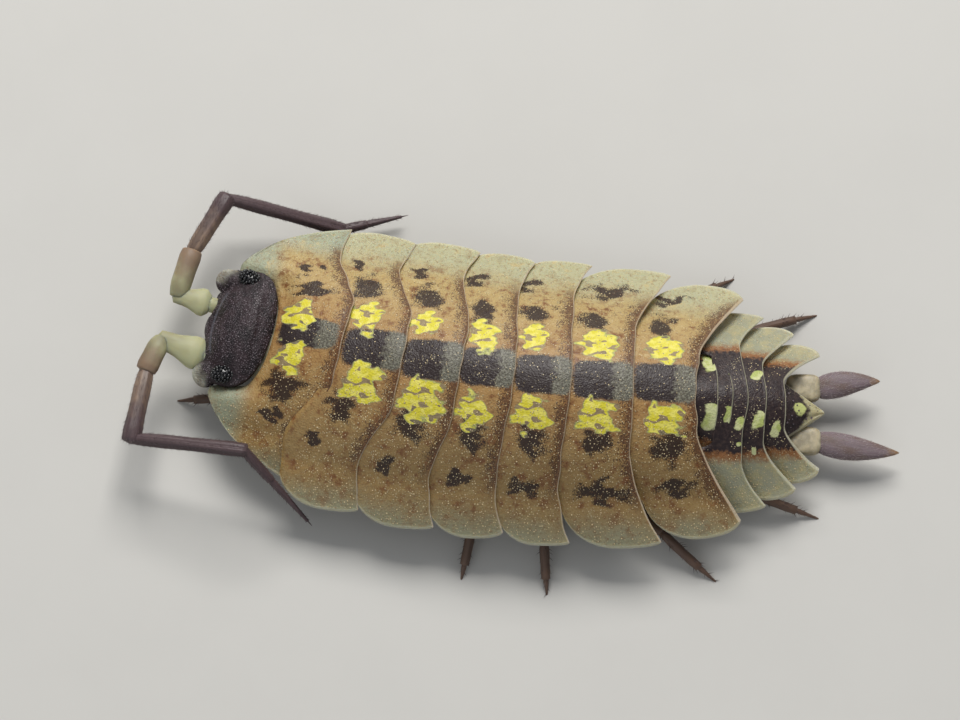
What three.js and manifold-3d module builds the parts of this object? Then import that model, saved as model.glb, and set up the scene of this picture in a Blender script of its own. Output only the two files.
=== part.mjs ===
// A painted woodlouse, life size, standing with its body curved slightly to its right and both antennae
// folded back. Millimetres, +Z up, the floor at Z = 0. The head looks along -Y and its left side is +X.
// The body is a row of arched plates: seven on the chest, five on the tail and a pointed end plate. Each
// plate is drawn in its own frame, whose origin is below the middle of its rear edge, and the frames are
// walked forwards and backwards from the fourth chest plate.

import * as THREE from "three";
import { mergeVertices } from "three/addons/utils/BufferGeometryUtils.js";
import Module from "manifold-3d";

const wasm = await Module();
wasm.setup();

// Driving dimensions, in millimetres and degrees.
const GAP = 0.06; // between pieces that meet
const BACK_TOP = 2.5; // height of the back over the floor at its highest
const BACK_BASE = 0.6; // height that the back's curve falls to beyond the head and tail
const FALL_AHEAD = 7.0; // how far ahead of the fourth plate the back's curve ends
const FALL_BEHIND = 6.4; // and how far behind it
const BELLY = 0.86; // height of the belly over the floor
const BELLY_HALF = 1.42; // half width of the belly under the chest
const BELLY_FADE = 0.16; // how far out from there the belly's side slopes up to the side plates
const TAIL_BELLY = { drop: 0.1, step: 0.02, half: 0.72 }; // how the tail's belly differs, plate by plate
const SHELL = 0.46; // thickness of a side plate where it leaves the belly
const RIM = 0.2; // and at its rim
const TILE_RISE = 0.09; // how far a plate's rear edge stands above the even curve of the back
const TILE_SINK = 0.08; // and how far its front edge lies below it
const TUCK = 0.26; // how far a plate runs forward below the plate ahead
const WINGS = { behind: 0.1, long: 0.93, from: 0.5, over: 0.32, flare: 0.45 }; // the first plate's sides
const NECK_SHIFT = -0.15; // how far the first plate and the head lie to the right of the line
const LEG = 0.26; // radius of a leg
const FINEST = 0.005; // shortest detail that a cut leaves
const CUT = { below: 1, tall: 6 }; // upright reach of a cutting prism

// Each plate: length along the middle, heading of its axis, half width, rim height, how far its rear corner
// lies behind the middle of its rear edge, how far that edge dips forward beside the middle, where from the
// middle (0) to the rim (1) the edge turns back to the corner, the width of its front as a share of its
// full width, and how much of the width it loses at its rear corners.
const PLATES = [
  {
    name: "pereonite_1", long: 1.45, heading: 6.5, half: 2.66, rim: 0.8,
    corner: -0.58, dip: 0.6, turn: 0.74, round: 0.53, taper: 0.0,
  },
  {
    name: "pereonite_2", long: 1.22, heading: 4.5, half: 2.88, rim: 0.8,
    corner: -0.32, dip: 0.48, turn: 0.74, round: 0.78, taper: 0.04,
  },
  {
    name: "pereonite_3", long: 1.15, heading: 2.5, half: 2.95, rim: 0.8,
    corner: -0.1, dip: 0.3, turn: 0.74, round: 0.78, taper: 0.04,
  },
  {
    name: "pereonite_4", long: 1.04, heading: 0, half: 2.93, rim: 0.8,
    corner: 0.1, dip: 0.13, turn: 0.74, round: 0.78, taper: 0.06,
  },
  {
    name: "pereonite_5", long: 1.1, heading: -2.2, half: 2.92, rim: 0.8,
    corner: 0.2, dip: 0.09, turn: 0.68, round: 0.76, taper: 0.03,
  },
  {
    name: "pereonite_6", long: 1.2, heading: -4, half: 2.86, rim: 0.78,
    corner: 0.68, dip: 0, turn: 0.46, round: 0.7, taper: 0.055,
  },
  {
    name: "pereonite_7", long: 1.22, heading: -5.5, half: 2.6, rim: 0.74,
    corner: 0.95, dip: -0.04, turn: 0.3, round: 0.68, taper: 0.14,
  },
  {
    name: "pleonite_1", long: 0.45, heading: -6, half: 1.3, rim: 1.1,
    corner: -0.1, dip: 0.1, turn: 0.8, round: 0.95, taper: 0.0,
  },
  {
    name: "pleonite_2", long: 0.28, heading: -6.2, half: 1.26, rim: 1.05,
    corner: -0.12, dip: 0.12, turn: 0.8, round: 0.95, taper: 0.0,
  },
  {
    name: "pleonite_3", long: 0.3, heading: -6.5, half: 2.05, rim: 0.68,
    corner: 0.36, dip: 0.14, turn: 0.62, round: 0.8, taper: 0.07,
  },
  {
    name: "pleonite_4", long: 0.35, heading: -6.5, half: 1.77, rim: 0.66,
    corner: 0.6, dip: 0.04, turn: 0.5, round: 0.78, taper: 0.12,
  },
  {
    name: "pleonite_5", long: 0.38, heading: -6.5, half: 1.42, rim: 0.64,
    corner: 0.7, dip: 0, turn: 0.4, round: 0.76, taper: 0.2,
  },
];
const CHEST = 7; // plates on the chest, each with a pair of legs
const MIDDLE = 3; // index of the plate that the frames are walked from

// Where each foot stands in the frame of its plate: out from the middle and back from the rear edge.
const FEET = {
  left: [
    [1.34, -3.05],
    [2.2, -1.9],
    [2.65, -1.2],
    [3.54, -0.61],
    [3.66, -0.16],
    [3.2, 1.78],
    [1.91, 2.46],
  ],
  right: [
    [1.6, -2.1],
    [2.35, -1.8],
    [2.7, -1.2],
    [2.75, -0.35],
    [2.8, 0.35],
    [2.98, 1.89],
    [2.24, 2.39],
  ],
};

// Materials, with the colours of the living animal.
const paint = (color, roughness = 0.45) =>
  new THREE.MeshStandardMaterial({ color, roughness, metalness: 0 });
const SHELL_PAINT = paint(0x9a7a45);
const TAIL_PAINT = paint(0x3a2820);
const SKIRT = paint(0xa8a582);
const DARK = paint(0x2a1d1c, 0.35);
const EYE = paint(0x101014, 0.2);
const GILL = paint(0xb8b68c, 0.35);
const LIMB = paint(0x6b5348);
const PALE = paint(0xcfc9a0);

// Small numeric helpers.
const clamp01 = (t) => Math.min(1, Math.max(0, t));
const smooth = (t) => clamp01(t) ** 2 * (3 - 2 * clamp01(t));
const mix = (a, b, t) => a + (b - a) * t;
const radians = THREE.MathUtils.degToRad;

// A closed mesh from vertices and triangles, as a manifold whose faces point out.
function solid(points, triangles) {
  const made = (order) =>
    new wasm.Manifold(
      new wasm.Mesh({
        numProp: 3,
        vertProperties: new Float32Array(points.flat()),
        triVerts: new Uint32Array(order),
      }),
    );
  const first = made(triangles);
  if (first.volume() > 0) return first;
  return made(triangles.toReversed());
}

// A solid from a three.js geometry, with its shared vertices merged.
function solidOf(geometry) {
  const bare = geometry.index ? geometry.toNonIndexed() : geometry.clone();
  bare.deleteAttribute("normal");
  bare.deleteAttribute("uv");
  const merged = mergeVertices(bare, 1e-4);
  const places = Array.from(merged.attributes.position.array);
  const points = places.flatMap((_, i) => (i % 3 ? [] : [places.slice(i, i + 3)]));
  return solid(points, Array.from(merged.index.array));
}

// A tube through rings of points, with flat ends.
function loft(rings) {
  const sides = rings[0].length;
  const points = rings.flat();
  const triangles = [];
  for (let r = 0; r + 1 < rings.length; r++)
    for (let s = 0; s < sides; s++) {
      const a = r * sides + s;
      const b = r * sides + ((s + 1) % sides);
      triangles.push(a, b, a + sides, b, b + sides, a + sides);
    }
  const last = (rings.length - 1) * sides;
  for (let s = 1; s + 1 < sides; s++) {
    triangles.push(0, s + 1, s);
    triangles.push(last, last + s, last + s + 1);
  }
  return solid(points, triangles);
}

// A limb's length: oval rings along a line of stations, each with a centre and a radius. Each ring's first
// axis is square to the line and to ref, and flat squeezes it along its second.
function limb(stations, { sides = 8, flat = 1, ref = [0, 0, 1] } = {}) {
  const rings = stations.map((here, i) => {
    const from = new THREE.Vector3(...stations[Math.max(0, i - 1)].at);
    const to = new THREE.Vector3(...stations[Math.min(stations.length - 1, i + 1)].at);
    const way = to.sub(from).normalize();
    const side = new THREE.Vector3(...ref).cross(way).normalize();
    const rise = way.clone().cross(side);
    return Array.from({ length: sides }, (_, s) => {
      const angle = ((s + 0.5) / sides) * 2 * Math.PI;
      return new THREE.Vector3(...here.at)
        .addScaledVector(side, here.radius * Math.cos(angle))
        .addScaledVector(rise, here.radius * flat * Math.sin(angle))
        .toArray();
    });
  });
  return loft(rings);
}

// A straight article of a limb between two joints, narrow where it starts and full near its end.
function article(from, to, radius, end = radius, { start = 0.82, sides = 8, flat = 1 } = {}) {
  const at = (t) => from.map((v, i) => mix(v, to[i], t));
  return limb(
    [
      { at: at(0), radius: radius * start },
      { at: at(0.14), radius: radius * 0.97 },
      { at: at(0.82), radius: mix(radius, end, 0.7) },
      { at: at(1), radius: end * 0.9 },
    ],
    { sides, flat },
  );
}

// A solid's points and triangles, with points closer than FINEST made one.
function welded(made) {
  const { vertProperties, triVerts, numProp } = made.getMesh();
  const count = vertProperties.length / numProp;
  const points = Array.from({ length: count }, (_, i) =>
    Array.from(vertProperties.subarray(i * numProp, i * numProp + 3)),
  );
  const near = (a, b) => Math.hypot(a[0] - b[0], a[1] - b[1], a[2] - b[2]) < FINEST;
  const first = points.map((point) => points.findIndex((other) => near(point, other)));
  const root = (i) => (first[i] === i ? i : root(first[i]));
  const faces = new Map();
  for (let t = 0; t < triVerts.length; t += 3) {
    const face = [root(triVerts[t]), root(triVerts[t + 1]), root(triVerts[t + 2])];
    if (new Set(face).size < 3) continue;
    const key = face.toSorted((a, b) => a - b).join();
    if (!faces.delete(key)) faces.set(key, face);
  }
  return solid(points, [...faces.values()].flat());
}

// A mesh in its place, from the largest body of a manifold.
function meshOf(name, made, material) {
  const largest = made.decompose().sort((a, b) => b.volume() - a.volume())[0];
  const { vertProperties, triVerts } = welded(largest.simplify(FINEST)).getMesh();
  const geometry = new THREE.BufferGeometry()
    .setAttribute("position", new THREE.BufferAttribute(vertProperties, 3))
    .setIndex(new THREE.BufferAttribute(triVerts, 1));
  geometry.computeVertexNormals();
  const mesh = new THREE.Mesh(geometry, material);
  mesh.name = name;
  return mesh;
}

// Frames: each plate's place on the floor and heading. +Y of a frame points to the tail.
function frames() {
  const found = [];
  found[MIDDLE] = { x: 0, y: 0, heading: 0 };
  const step = (from, distance, heading) => ({
    x: from.x + distance * Math.sin(radians(heading)),
    y: from.y + distance * Math.cos(radians(heading)),
  });
  for (let i = MIDDLE + 1; i < PLATES.length; i++) {
    const between = (PLATES[i].heading + PLATES[i - 1].heading) / 2;
    found[i] = { ...step(found[i - 1], PLATES[i].long, between), heading: PLATES[i].heading };
  }
  for (let i = MIDDLE - 1; i >= 0; i--) {
    const between = (PLATES[i].heading + PLATES[i + 1].heading) / 2;
    found[i] = { ...step(found[i + 1], -PLATES[i + 1].long, between), heading: PLATES[i].heading };
  }
  found[0].x += NECK_SHIFT;
  return found;
}
const FRAMES = frames();
const HEAD_HEADING = 8;
const NECK_HEADING = (PLATES[0].heading + HEAD_HEADING) / 2;
const HEAD_FRAME = {
  x: FRAMES[0].x - PLATES[0].long * Math.sin(radians(NECK_HEADING)),
  y: FRAMES[0].y - PLATES[0].long * Math.cos(radians(NECK_HEADING)),
  heading: HEAD_HEADING,
};
const TAIL_FRAME = FRAMES[PLATES.length - 1];

// A group that stands in a frame.
function groupIn(frame) {
  const group = new THREE.Group();
  group.position.set(frame.x, frame.y, 0);
  group.rotation.z = -radians(frame.heading);
  return group;
}

// A point of one frame, as seen from another.
function across(point, from, to) {
  const turned = (v, degrees) => {
    const angle = radians(degrees);
    return [
      v[0] * Math.cos(angle) + v[1] * Math.sin(angle),
      v[1] * Math.cos(angle) - v[0] * Math.sin(angle),
    ];
  };
  const [x, y] = turned(point, from.heading);
  const [u, v] = turned([x + from.x - to.x, y + from.y - to.y], -to.heading);
  return [u, v, ...point.slice(2)];
}

// Height of the back along the middle, y from the fourth plate's rear edge.
function backHeight(y) {
  const reach = y < 0 ? FALL_AHEAD : FALL_BEHIND;
  const left = Math.max(0, 1 - (y / reach) ** 2);
  return BACK_BASE + (BACK_TOP - BACK_BASE) * left ** 0.8;
}

// The arch across a plate, from 1 at the middle to 0 at the rim: a dome whose sides flare.
const arch = (r) => 0.55 * (1 - r * r) + 0.225 * (1 + Math.cos(Math.PI * Math.min(r, 1)));

// The rear edge of a plate: how far it lies behind its middle, r from the middle to the rim.
function rearEdge(plate, r) {
  const back = clamp01((r - plate.turn) / (1 - plate.turn)) ** 1.5;
  return -plate.dip * smooth(r / plate.turn) + (plate.corner + plate.dip) * back;
}

// The side of a plate: its half width as a share, w from the front to the rear.
function sideOf(plate, w) {
  if (plate === PLATES[0]) return mix(plate.round, 1, w ** WINGS.flare);
  const bow = Math.sqrt(1 - (1 - clamp01(w / 0.55)) ** 2);
  const rounding = 1 - Math.sqrt(1 - clamp01((w - 0.5) / 0.5) ** 2);
  return mix(plate.round, 1, bow) - plate.taper * rounding;
}

// The front edge of a plate. The first one runs forward on both sides of the head.
function frontEdge(index, r) {
  const plate = PLATES[index];
  if (index === 0)
    return -plate.long - WINGS.behind - WINGS.long * smooth((r - WINGS.from) / WINGS.over);
  const ahead = PLATES[index - 1];
  return -plate.long - TUCK + rearEdge(ahead, Math.min(1, (r * plate.half) / ahead.half));
}

// Plan and height of a plate at u across (-1 to 1) and w along (0 to 1), raised by lift.
function placeOn(index, u, w, lift = 0, grow = 0) {
  const plate = PLATES[index];
  const r = Math.abs(u);
  const x = u * (plate.half * sideOf(plate, w) + grow);
  const y = mix(frontEdge(index, r), rearEdge(plate, r) + grow, w);
  const share = Math.min(1, Math.abs(x) / plate.half);
  const middle = backHeight(FRAMES[index].y + y);
  const tile = mix(-TILE_SINK, TILE_RISE, smooth(w));
  const z = plate.rim + (middle - plate.rim) * arch(share) + tile * (1 - 0.4 * share) + lift;
  return [x, y, z];
}

// The underside of a plate: the flat belly in the middle, and the thin side plates out to the rim.
function underOf(index, top) {
  const plate = PLATES[index];
  const tail = index >= CHEST;
  const [x, y, z] = top;
  const share = Math.abs(x) / plate.half;
  const belly = BELLY - (tail ? TAIL_BELLY.drop + TAIL_BELLY.step * (index - CHEST) : 0);
  const half = tail ? TAIL_BELLY.half : BELLY_HALF;
  const core = smooth((half + BELLY_FADE - Math.abs(x)) / BELLY_FADE);
  const thick = mix(SHELL, RIM, smooth((share - 0.45) / 0.5));
  return [x, y, mix(z - thick, Math.min(belly, z - thick), core)];
}

// Stations across and along a plate.
const ACROSS = [0, 0.17, 0.33, 0.46, 0.56, 0.7, 0.84, 0.94, 1];
const ACROSS_BOTH = [...ACROSS.slice(1).reverse().map((u) => -u), ...ACROSS];
const ALONG = { chest: [0, 0.1, 0.28, 0.55, 0.8, 0.94, 1], tail: [0, 0.2, 0.5, 0.8, 0.94, 1] };

// A closed slab between a sheet of top points and one of bottom points, each rows of equal length.
function slab(top, bottom) {
  const rows = top.length;
  const cols = top[0].length;
  const points = [...top.flat(), ...bottom.flat()];
  const under = rows * cols;
  const at = (r, c) => r * cols + c;
  const triangles = [];
  for (let r = 0; r + 1 < rows; r++)
    for (let c = 0; c + 1 < cols; c++) {
      const [a, b, d, e] = [at(r, c), at(r, c + 1), at(r + 1, c), at(r + 1, c + 1)];
      triangles.push(a, b, d, b, e, d);
      triangles.push(under + a, under + d, under + b, under + b, under + d, under + e);
    }
  const wall = (a, b) => triangles.push(a, under + a, b, b, under + a, under + b);
  for (let c = 0; c + 1 < cols; c++) {
    wall(at(0, c), at(0, c + 1));
    wall(at(rows - 1, c + 1), at(rows - 1, c));
  }
  for (let r = 0; r + 1 < rows; r++) {
    wall(at(r + 1, 0), at(r, 0));
    wall(at(r, cols - 1), at(r + 1, cols - 1));
  }
  return solid(points, triangles);
}

// A plan outline as an upright prism that cuts what it covers.
function prism(outline) {
  const shape = new THREE.Shape(outline.map(([x, y]) => new THREE.Vector2(x, y)));
  const tall = new THREE.ExtrudeGeometry(shape, { depth: CUT.tall, bevelEnabled: false, steps: 1 });
  tall.translate(0, 0, -CUT.below);
  return solidOf(tall);
}

// The prism over a plate, grown by the gap and drawn in the frame of the plate behind it.
function coverOf(index, frame) {
  const edge = (u, w) => across(placeOn(index, u, w, 0, GAP), FRAMES[index], frame).slice(0, 2);
  const rear = ACROSS_BOTH.map((u) => edge(u, 1));
  const sides = [0.94, 0.8, 0.55, 0.28];
  const right = sides.map((w) => edge(-1, w));
  const left = sides.toReversed().map((w) => edge(1, w));
  const front = ACROSS_BOTH.map((u) => edge(u, 0));
  return prism([...rear.toReversed(), ...right, ...front, ...left]);
}

// One plate, cut clear of the plate ahead of it.
function plateSolid(index) {
  const along = index < CHEST ? ALONG.chest : ALONG.tail;
  const top = along.map((w) => ACROSS_BOTH.map((u) => placeOn(index, u, w)));
  const bottom = top.map((row) => row.map((point) => underOf(index, point)));
  const whole = slab(top, bottom);
  if (index === 0) return whole;
  return whole.subtract(coverOf(index - 1, FRAMES[index]));
}

// The head, in its own frame: origin below the middle of its rear edge.
const HEAD = { half: 1.2, long: 1.36, rear: 1.36, front: 0.98, dome: 0.42, chin: 0.72 };
const HEAD_MIDDLE = -HEAD.long / 2;
const HEAD_SQUARENESS = 2.6; // 2 would be an ellipse

function headOutline(angle, scale = 1) {
  const power = 2 / HEAD_SQUARENESS;
  const c = Math.cos(angle);
  const s = Math.sin(angle);
  const x = Math.sign(c) * Math.abs(c) ** power * HEAD.half * scale;
  const y = HEAD_MIDDLE + Math.sign(s) * Math.abs(s) ** power * (HEAD.long / 2) * scale;
  return [x, y];
}

function ellipsoid([x, y, z], [a, b, c], { turn = 0, around = 14, rows = 8 } = {}) {
  const ball = new THREE.SphereGeometry(1, around, rows);
  ball.scale(a, b, c).rotateZ(turn).translate(x, y, z);
  return solidOf(ball);
}

const EYE_AT = [1.03, -0.74, 1.38];
const EYE_SIZE = [0.18, 0.26, 0.22];
const EYE_TURN = 0.25;
const LENS = 0.055;

function headSolid() {
  const sides = 32;
  const level = (scale, z) =>
    Array.from({ length: sides }, (_, s) => {
      const [x, y] = headOutline((s / sides) * 2 * Math.PI, scale);
      return [x, y, z(x, y)];
    });
  const tilt = (y) => mix(HEAD.front, HEAD.rear, clamp01(1 + y / HEAD.long));
  const dome = (scale) => (x, y) => tilt(y) + HEAD.dome * (1 - scale ** HEAD_SQUARENESS);
  const rings = [
    level(0.72, () => HEAD.chin),
    level(0.9, (x, y) => mix(HEAD.chin, tilt(y), 0.35)),
    level(1, (x, y) => tilt(y)),
    level(0.93, dome(0.86)),
    level(0.78, dome(0.7)),
    level(0.5, dome(0.42)),
    level(0.2, dome(0)),
  ];
  let head = loft(rings);
  for (const side of [-1, 1]) {
    const lobe = ellipsoid([side * 1.03, -1.18, 1.0], [0.3, 0.28, 0.15], { turn: side * 0.3 });
    head = head.add(lobe);
  }
  const brow = ellipsoid([0, -1.28, 0.99], [0.62, 0.2, 0.16], { around: 16, rows: 6 });
  return head.add(brow);
}

// An eye: a low dome set with a few of its small lenses.
function eyeSolid(side, grow = 0) {
  const size = EYE_SIZE.map((v) => v + grow);
  const centre = [side * EYE_AT[0], EYE_AT[1], EYE_AT[2]];
  const turn = side * EYE_TURN;
  const body = ellipsoid(centre, size, { turn, around: 12, rows: 8 });
  if (grow) return body;
  const lenses = [];
  for (let row = 0; row < 3; row++)
    for (let k = 0; k < 4; k++) {
      const up = 0.35 + 0.42 * row;
      const round = (k - 1.5) * 0.62 + (row % 2) * 0.3;
      const out = [
        side * Math.cos(up) * Math.cos(round) * EYE_SIZE[0],
        Math.cos(up) * Math.sin(round) * EYE_SIZE[1],
        Math.sin(up) * EYE_SIZE[2],
      ];
      const turned = new THREE.Vector3(...out).applyAxisAngle(new THREE.Vector3(0, 0, 1), turn);
      const lens = new THREE.IcosahedronGeometry(LENS, 0);
      lens.translate(turned.x + centre[0], turned.y + centre[1], turned.z + centre[2]);
      lenses.push(solidOf(lens));
    }
  return wasm.Manifold.union([body, ...lenses]);
}

// Antenna joints in the part's frame: the root in the head, then the end of each article.
const ANTENNAE = {
  left: {
    joints: [
      [-0.02, -6.02, 0.95],
      [-0.28, -7.02, 1.1],
      [0.36, -7.2, 1.12],
      [1.86, -7.31, 1.2],
      [1.92, -5.06, 1.6],
      [2.86, -3.72, 0.4],
    ],
  },
  right: {
    joints: [
      [-1.1, -5.92, 0.93],
      [-1.2, -6.82, 1.06],
      [-2.08, -6.66, 1.1],
      [-3.3, -6.13, 1.12],
      [-3.2, -3.83, 0.3],
      [-3.62, -2.7, 0.27],
    ],
  },
};
const JOINT = { start: 0.18, stop: 0.07 }; // how far an article keeps from the joints at its two ends
const ARTICLES = [
  { name: "article_2", radius: 0.3, end: 0.27 },
  { name: "article_3", radius: 0.26, end: 0.25 },
  { name: "article_4", radius: 0.26, end: 0.25 },
  { name: "article_5", radius: 0.25, end: 0.25 },
  { name: "flagellum", radius: 0.25, end: 0.09 },
];

// An article between two joints of an antenna, held back from each joint by room so that it stays clear of
// the articles beside it, and thickened by grow where it cuts a socket.
function feelerArticle(joints, k, grow = 0) {
  const { radius, end } = ARTICLES[k];
  const from = new THREE.Vector3(...joints[k]);
  const to = new THREE.Vector3(...joints[k + 1]);
  const way = to.clone().sub(from).normalize();
  const start = k === 0 ? 0 : JOINT.start;
  const stop = k === ARTICLES.length - 1 ? 0 : JOINT.stop;
  from.addScaledVector(way, start - grow);
  to.addScaledVector(way, -stop + grow);
  return article(from.toArray(), to.toArray(), radius + grow, end + grow);
}

// A leg: it leaves the belly near the middle, bends outwards at once and runs out and down to the foot in
// articles, each a little narrower at its joints. along is the share of the way out to the foot.
const LEG_ROOT = 0.76;
const DOWN = [
  { along: 0, z: BELLY - GAP, radius: 0.95 },
  { along: 0, z: 0.5, radius: 1 },
  { along: 0.13, z: 0.5, radius: 1 },
  { along: 0.2, z: 0.5, radius: 0.88 },
  { along: 0.25, z: 0.5, radius: 1 },
  { along: 0.42, z: 0.49, radius: 1 },
  { along: 0.46, z: 0.48, radius: 0.88 },
  { along: 0.51, z: 0.46, radius: 1 },
  { along: 0.64, z: 0.4, radius: 1 },
  { along: 0.68, z: 0.37, radius: 0.88 },
  { along: 0.86, z: 0.22, radius: 0.94 },
  { along: 0.9, z: 0.17, radius: 0.8 },
  { along: 1.03, z: -0.08, radius: 0.42 },
];

function legSolid(index, side) {
  const sign = side === "left" ? 1 : -1;
  const [out, back] = FEET[side][index];
  const root = [sign * LEG_ROOT, -PLATES[index].long * 0.5];
  const foot = [sign * out, back];
  const stations = DOWN.map(({ along, z, radius }) => ({
    at: [mix(root[0], foot[0], along ** 0.85), mix(root[1], foot[1], along ** 1.4), z],
    radius: LEG * radius,
  }));
  const ref = [foot[1] - root[1], root[0] - foot[0], 0];
  return limb(stations, { ref }).trimByPlane([0, 0, 1], 0);
}

// The telson, in the frame of the last tail plate: a triangle drawn out to a point.
const TELSON = { half: 0.74, long: 0.8, front: -0.3, top: 1.34, tip: 0.74, rim: 0.88, thick: 0.26 };
function telsonSolid() {
  const stations = [0, 0.25, 0.5, 0.75, 0.92, 1];
  const across = [-1, -0.6, -0.25, 0, 0.25, 0.6, 1];
  const halfAt = (t) => mix(TELSON.half, 0.07, t ** 0.8) + 0.05 * Math.sin(Math.PI * t);
  const top = stations.map((t) =>
    across.map((u) => {
      const crest = mix(TELSON.top, TELSON.tip, t ** 0.9);
      const rim = mix(TELSON.rim, TELSON.tip - 0.04, t);
      return [u * halfAt(t), mix(TELSON.front, TELSON.long, t), mix(crest, rim, u * u)];
    }),
  );
  const bottom = top.map((row) => row.map(([x, y, z]) => [x, y, z - TELSON.thick]));
  return slab(top, bottom).subtract(coverOf(PLATES.length - 1, TAIL_FRAME));
}

// Uropods, in the frame of the last tail plate: a short stem and a leaf-shaped branch on each side.
const STEM = { x: 0.57, from: 0.12, to: 0.72, z: 0.46 };
const LEAF = {
  left: { tip: [0.72, 2.27, 0.42], radius: 0.27 },
  right: { tip: [-0.68, 1.9, 0.62], radius: 0.27 },
};
function stemSolid(sign) {
  const at = (y) => [sign * STEM.x, y, STEM.z];
  const stations = [
    { at: at(STEM.from), radius: 0.25 },
    { at: at(mix(STEM.from, STEM.to, 0.5)), radius: 0.29 },
    { at: at(STEM.to), radius: 0.26 },
  ];
  return limb(stations, { sides: 8, flat: 0.8 });
}
function leafSolid(side) {
  const sign = side === "left" ? 1 : -1;
  const { tip, radius } = LEAF[side];
  const start = [sign * STEM.x, STEM.to + GAP, STEM.z];
  const at = (t) => start.map((v, i) => mix(v, tip[i], t));
  const stations = [
    { at: at(0), radius: radius * 0.75 },
    { at: at(0.18), radius: radius * 0.98 },
    { at: at(0.42), radius },
    { at: at(0.72), radius: radius * 0.66 },
    { at: at(1), radius: 0.03 },
  ];
  return limb(stations, { sides: 8, flat: 0.9 });
}

// Gill covers under the tail: five overlapping plates on each side of the middle.
function gillSolid(sign) {
  const rows = [];
  for (let k = 0; k < 5; k++) {
    const front = -1.5 + 0.32 * k;
    const half = 0.6 - 0.05 * k;
    rows.push([front, half, 0.6], [front + 0.28, half, 0.46]);
  }
  const ring = ([y, half, z]) => {
    const top = 0.72 - 0.02 * (y + 1.5);
    return [
      [sign * 0.05, y, top],
      [sign * half, y, top],
      [sign * half, y, z + 0.06],
      [sign * (half * 0.6), y, z],
      [sign * 0.05, y, z + 0.04],
    ];
  };
  return loft(rows.map(ring));
}

// Mouthparts: a blunt wedge under the front of the head.
function mouthSolid() {
  const ring = (scale, z, y) => {
    const corners = [
      [-0.42, -0.34],
      [-0.2, -0.5],
      [0.2, -0.5],
      [0.42, -0.34],
      [0.36, 0.3],
      [0.14, 0.42],
      [-0.14, 0.42],
      [-0.36, 0.3],
    ];
    return corners.map(([a, b]) => [a * scale, y + b * scale, z]);
  };
  const top = HEAD.chin - GAP;
  return loft([
    ring(1, top, HEAD_MIDDLE - 0.05),
    ring(0.92, top - 0.16, HEAD_MIDDLE - 0.05),
    ring(0.55, top - 0.32, HEAD_MIDDLE - 0.02),
  ]);
}

// The animal, put together.
function woodlouse() {
  const animal = new THREE.Group();
  const headGroup = groupIn(HEAD_FRAME);
  animal.add(headGroup);

  // A solid of the part's own frame, moved into a frame, and one of a frame moved out.
  const into = (made, frame) =>
    made.translate([-frame.x, -frame.y, 0]).rotate([0, 0, frame.heading]);
  const moved = (made, from, to) =>
    into(made.rotate([0, 0, -from.heading]).translate([from.x, from.y, 0]), to);

  let head = headSolid();
  for (const sign of [-1, 1]) head = head.subtract(eyeSolid(sign, GAP));
  for (const { joints } of Object.values(ANTENNAE))
    head = head.subtract(into(feelerArticle(joints, 0, GAP), HEAD_FRAME));
  headGroup.add(meshOf("head", head, DARK));
  headGroup.add(meshOf("eye_left", eyeSolid(1), EYE));
  headGroup.add(meshOf("eye_right", eyeSolid(-1), EYE));
  headGroup.add(meshOf("mouthparts", mouthSolid(), PALE));

  PLATES.forEach((plate, index) => {
    const group = groupIn(FRAMES[index]);
    let made = plateSolid(index);
    if (index === 0) {
      const outline = Array.from({ length: 28 }, (_, s) => {
        const point = headOutline((s / 28) * 2 * Math.PI, 1 + GAP / 0.9);
        return across(point, HEAD_FRAME, FRAMES[0]);
      });
      made = made.subtract(prism(outline));
      for (const sign of [-1, 1]) made = made.subtract(moved(eyeSolid(sign, GAP), HEAD_FRAME, FRAMES[0]));
    }
    group.add(meshOf(plate.name, made, index < CHEST ? SHELL_PAINT : TAIL_PAINT));
    if (index < CHEST)
      for (const side of ["left", "right"])
        group.add(meshOf(`leg_${side}_${index + 1}`, legSolid(index, side), LIMB));
    animal.add(group);
  });

  const tail = groupIn(TAIL_FRAME);
  tail.add(meshOf("telson", telsonSolid(), TAIL_PAINT));
  for (const side of ["left", "right"]) {
    const sign = side === "left" ? 1 : -1;
    tail.add(meshOf(`uropod_stem_${side}`, stemSolid(sign), SKIRT));
    tail.add(meshOf(`uropod_leaf_${side}`, leafSolid(side), LIMB));
    tail.add(meshOf(`gill_covers_${side}`, gillSolid(sign), GILL));
  }
  animal.add(tail);

  for (const [side, { joints }] of Object.entries(ANTENNAE))
    ARTICLES.forEach(({ name }, k) => {
      const made = feelerArticle(joints, k);
      animal.add(meshOf(`antenna_${side}_${name}`, made, k < 2 ? PALE : LIMB));
    });
  return animal;
}

// The part's origin is on the floor, in the middle of the room that the whole animal takes.
const part = new THREE.Group();
const animal = woodlouse();
animal.updateMatrixWorld(true);
const room = new THREE.Box3().setFromObject(animal, true);
animal.position.set(-(room.min.x + room.max.x) / 2, -(room.min.y + room.max.y) / 2, 0);
part.add(animal);

export default part;
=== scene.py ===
"""The looks of a life-size painted woodlouse: shell plates, head, feelers, legs, tail and their finishes.

Shapes are worked out in millimetres in the part's frame (+Z up, head towards -Y, the animal's left at +X)
and become metres as each piece is placed. Every plate, the head and the tail have a frame of their own,
with its origin below the middle of the piece's rear edge and its y axis pointing to the tail.
"""

import math
from collections import namedtuple

import bpy
import numpy as np
from mathutils import Matrix, Vector


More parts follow.
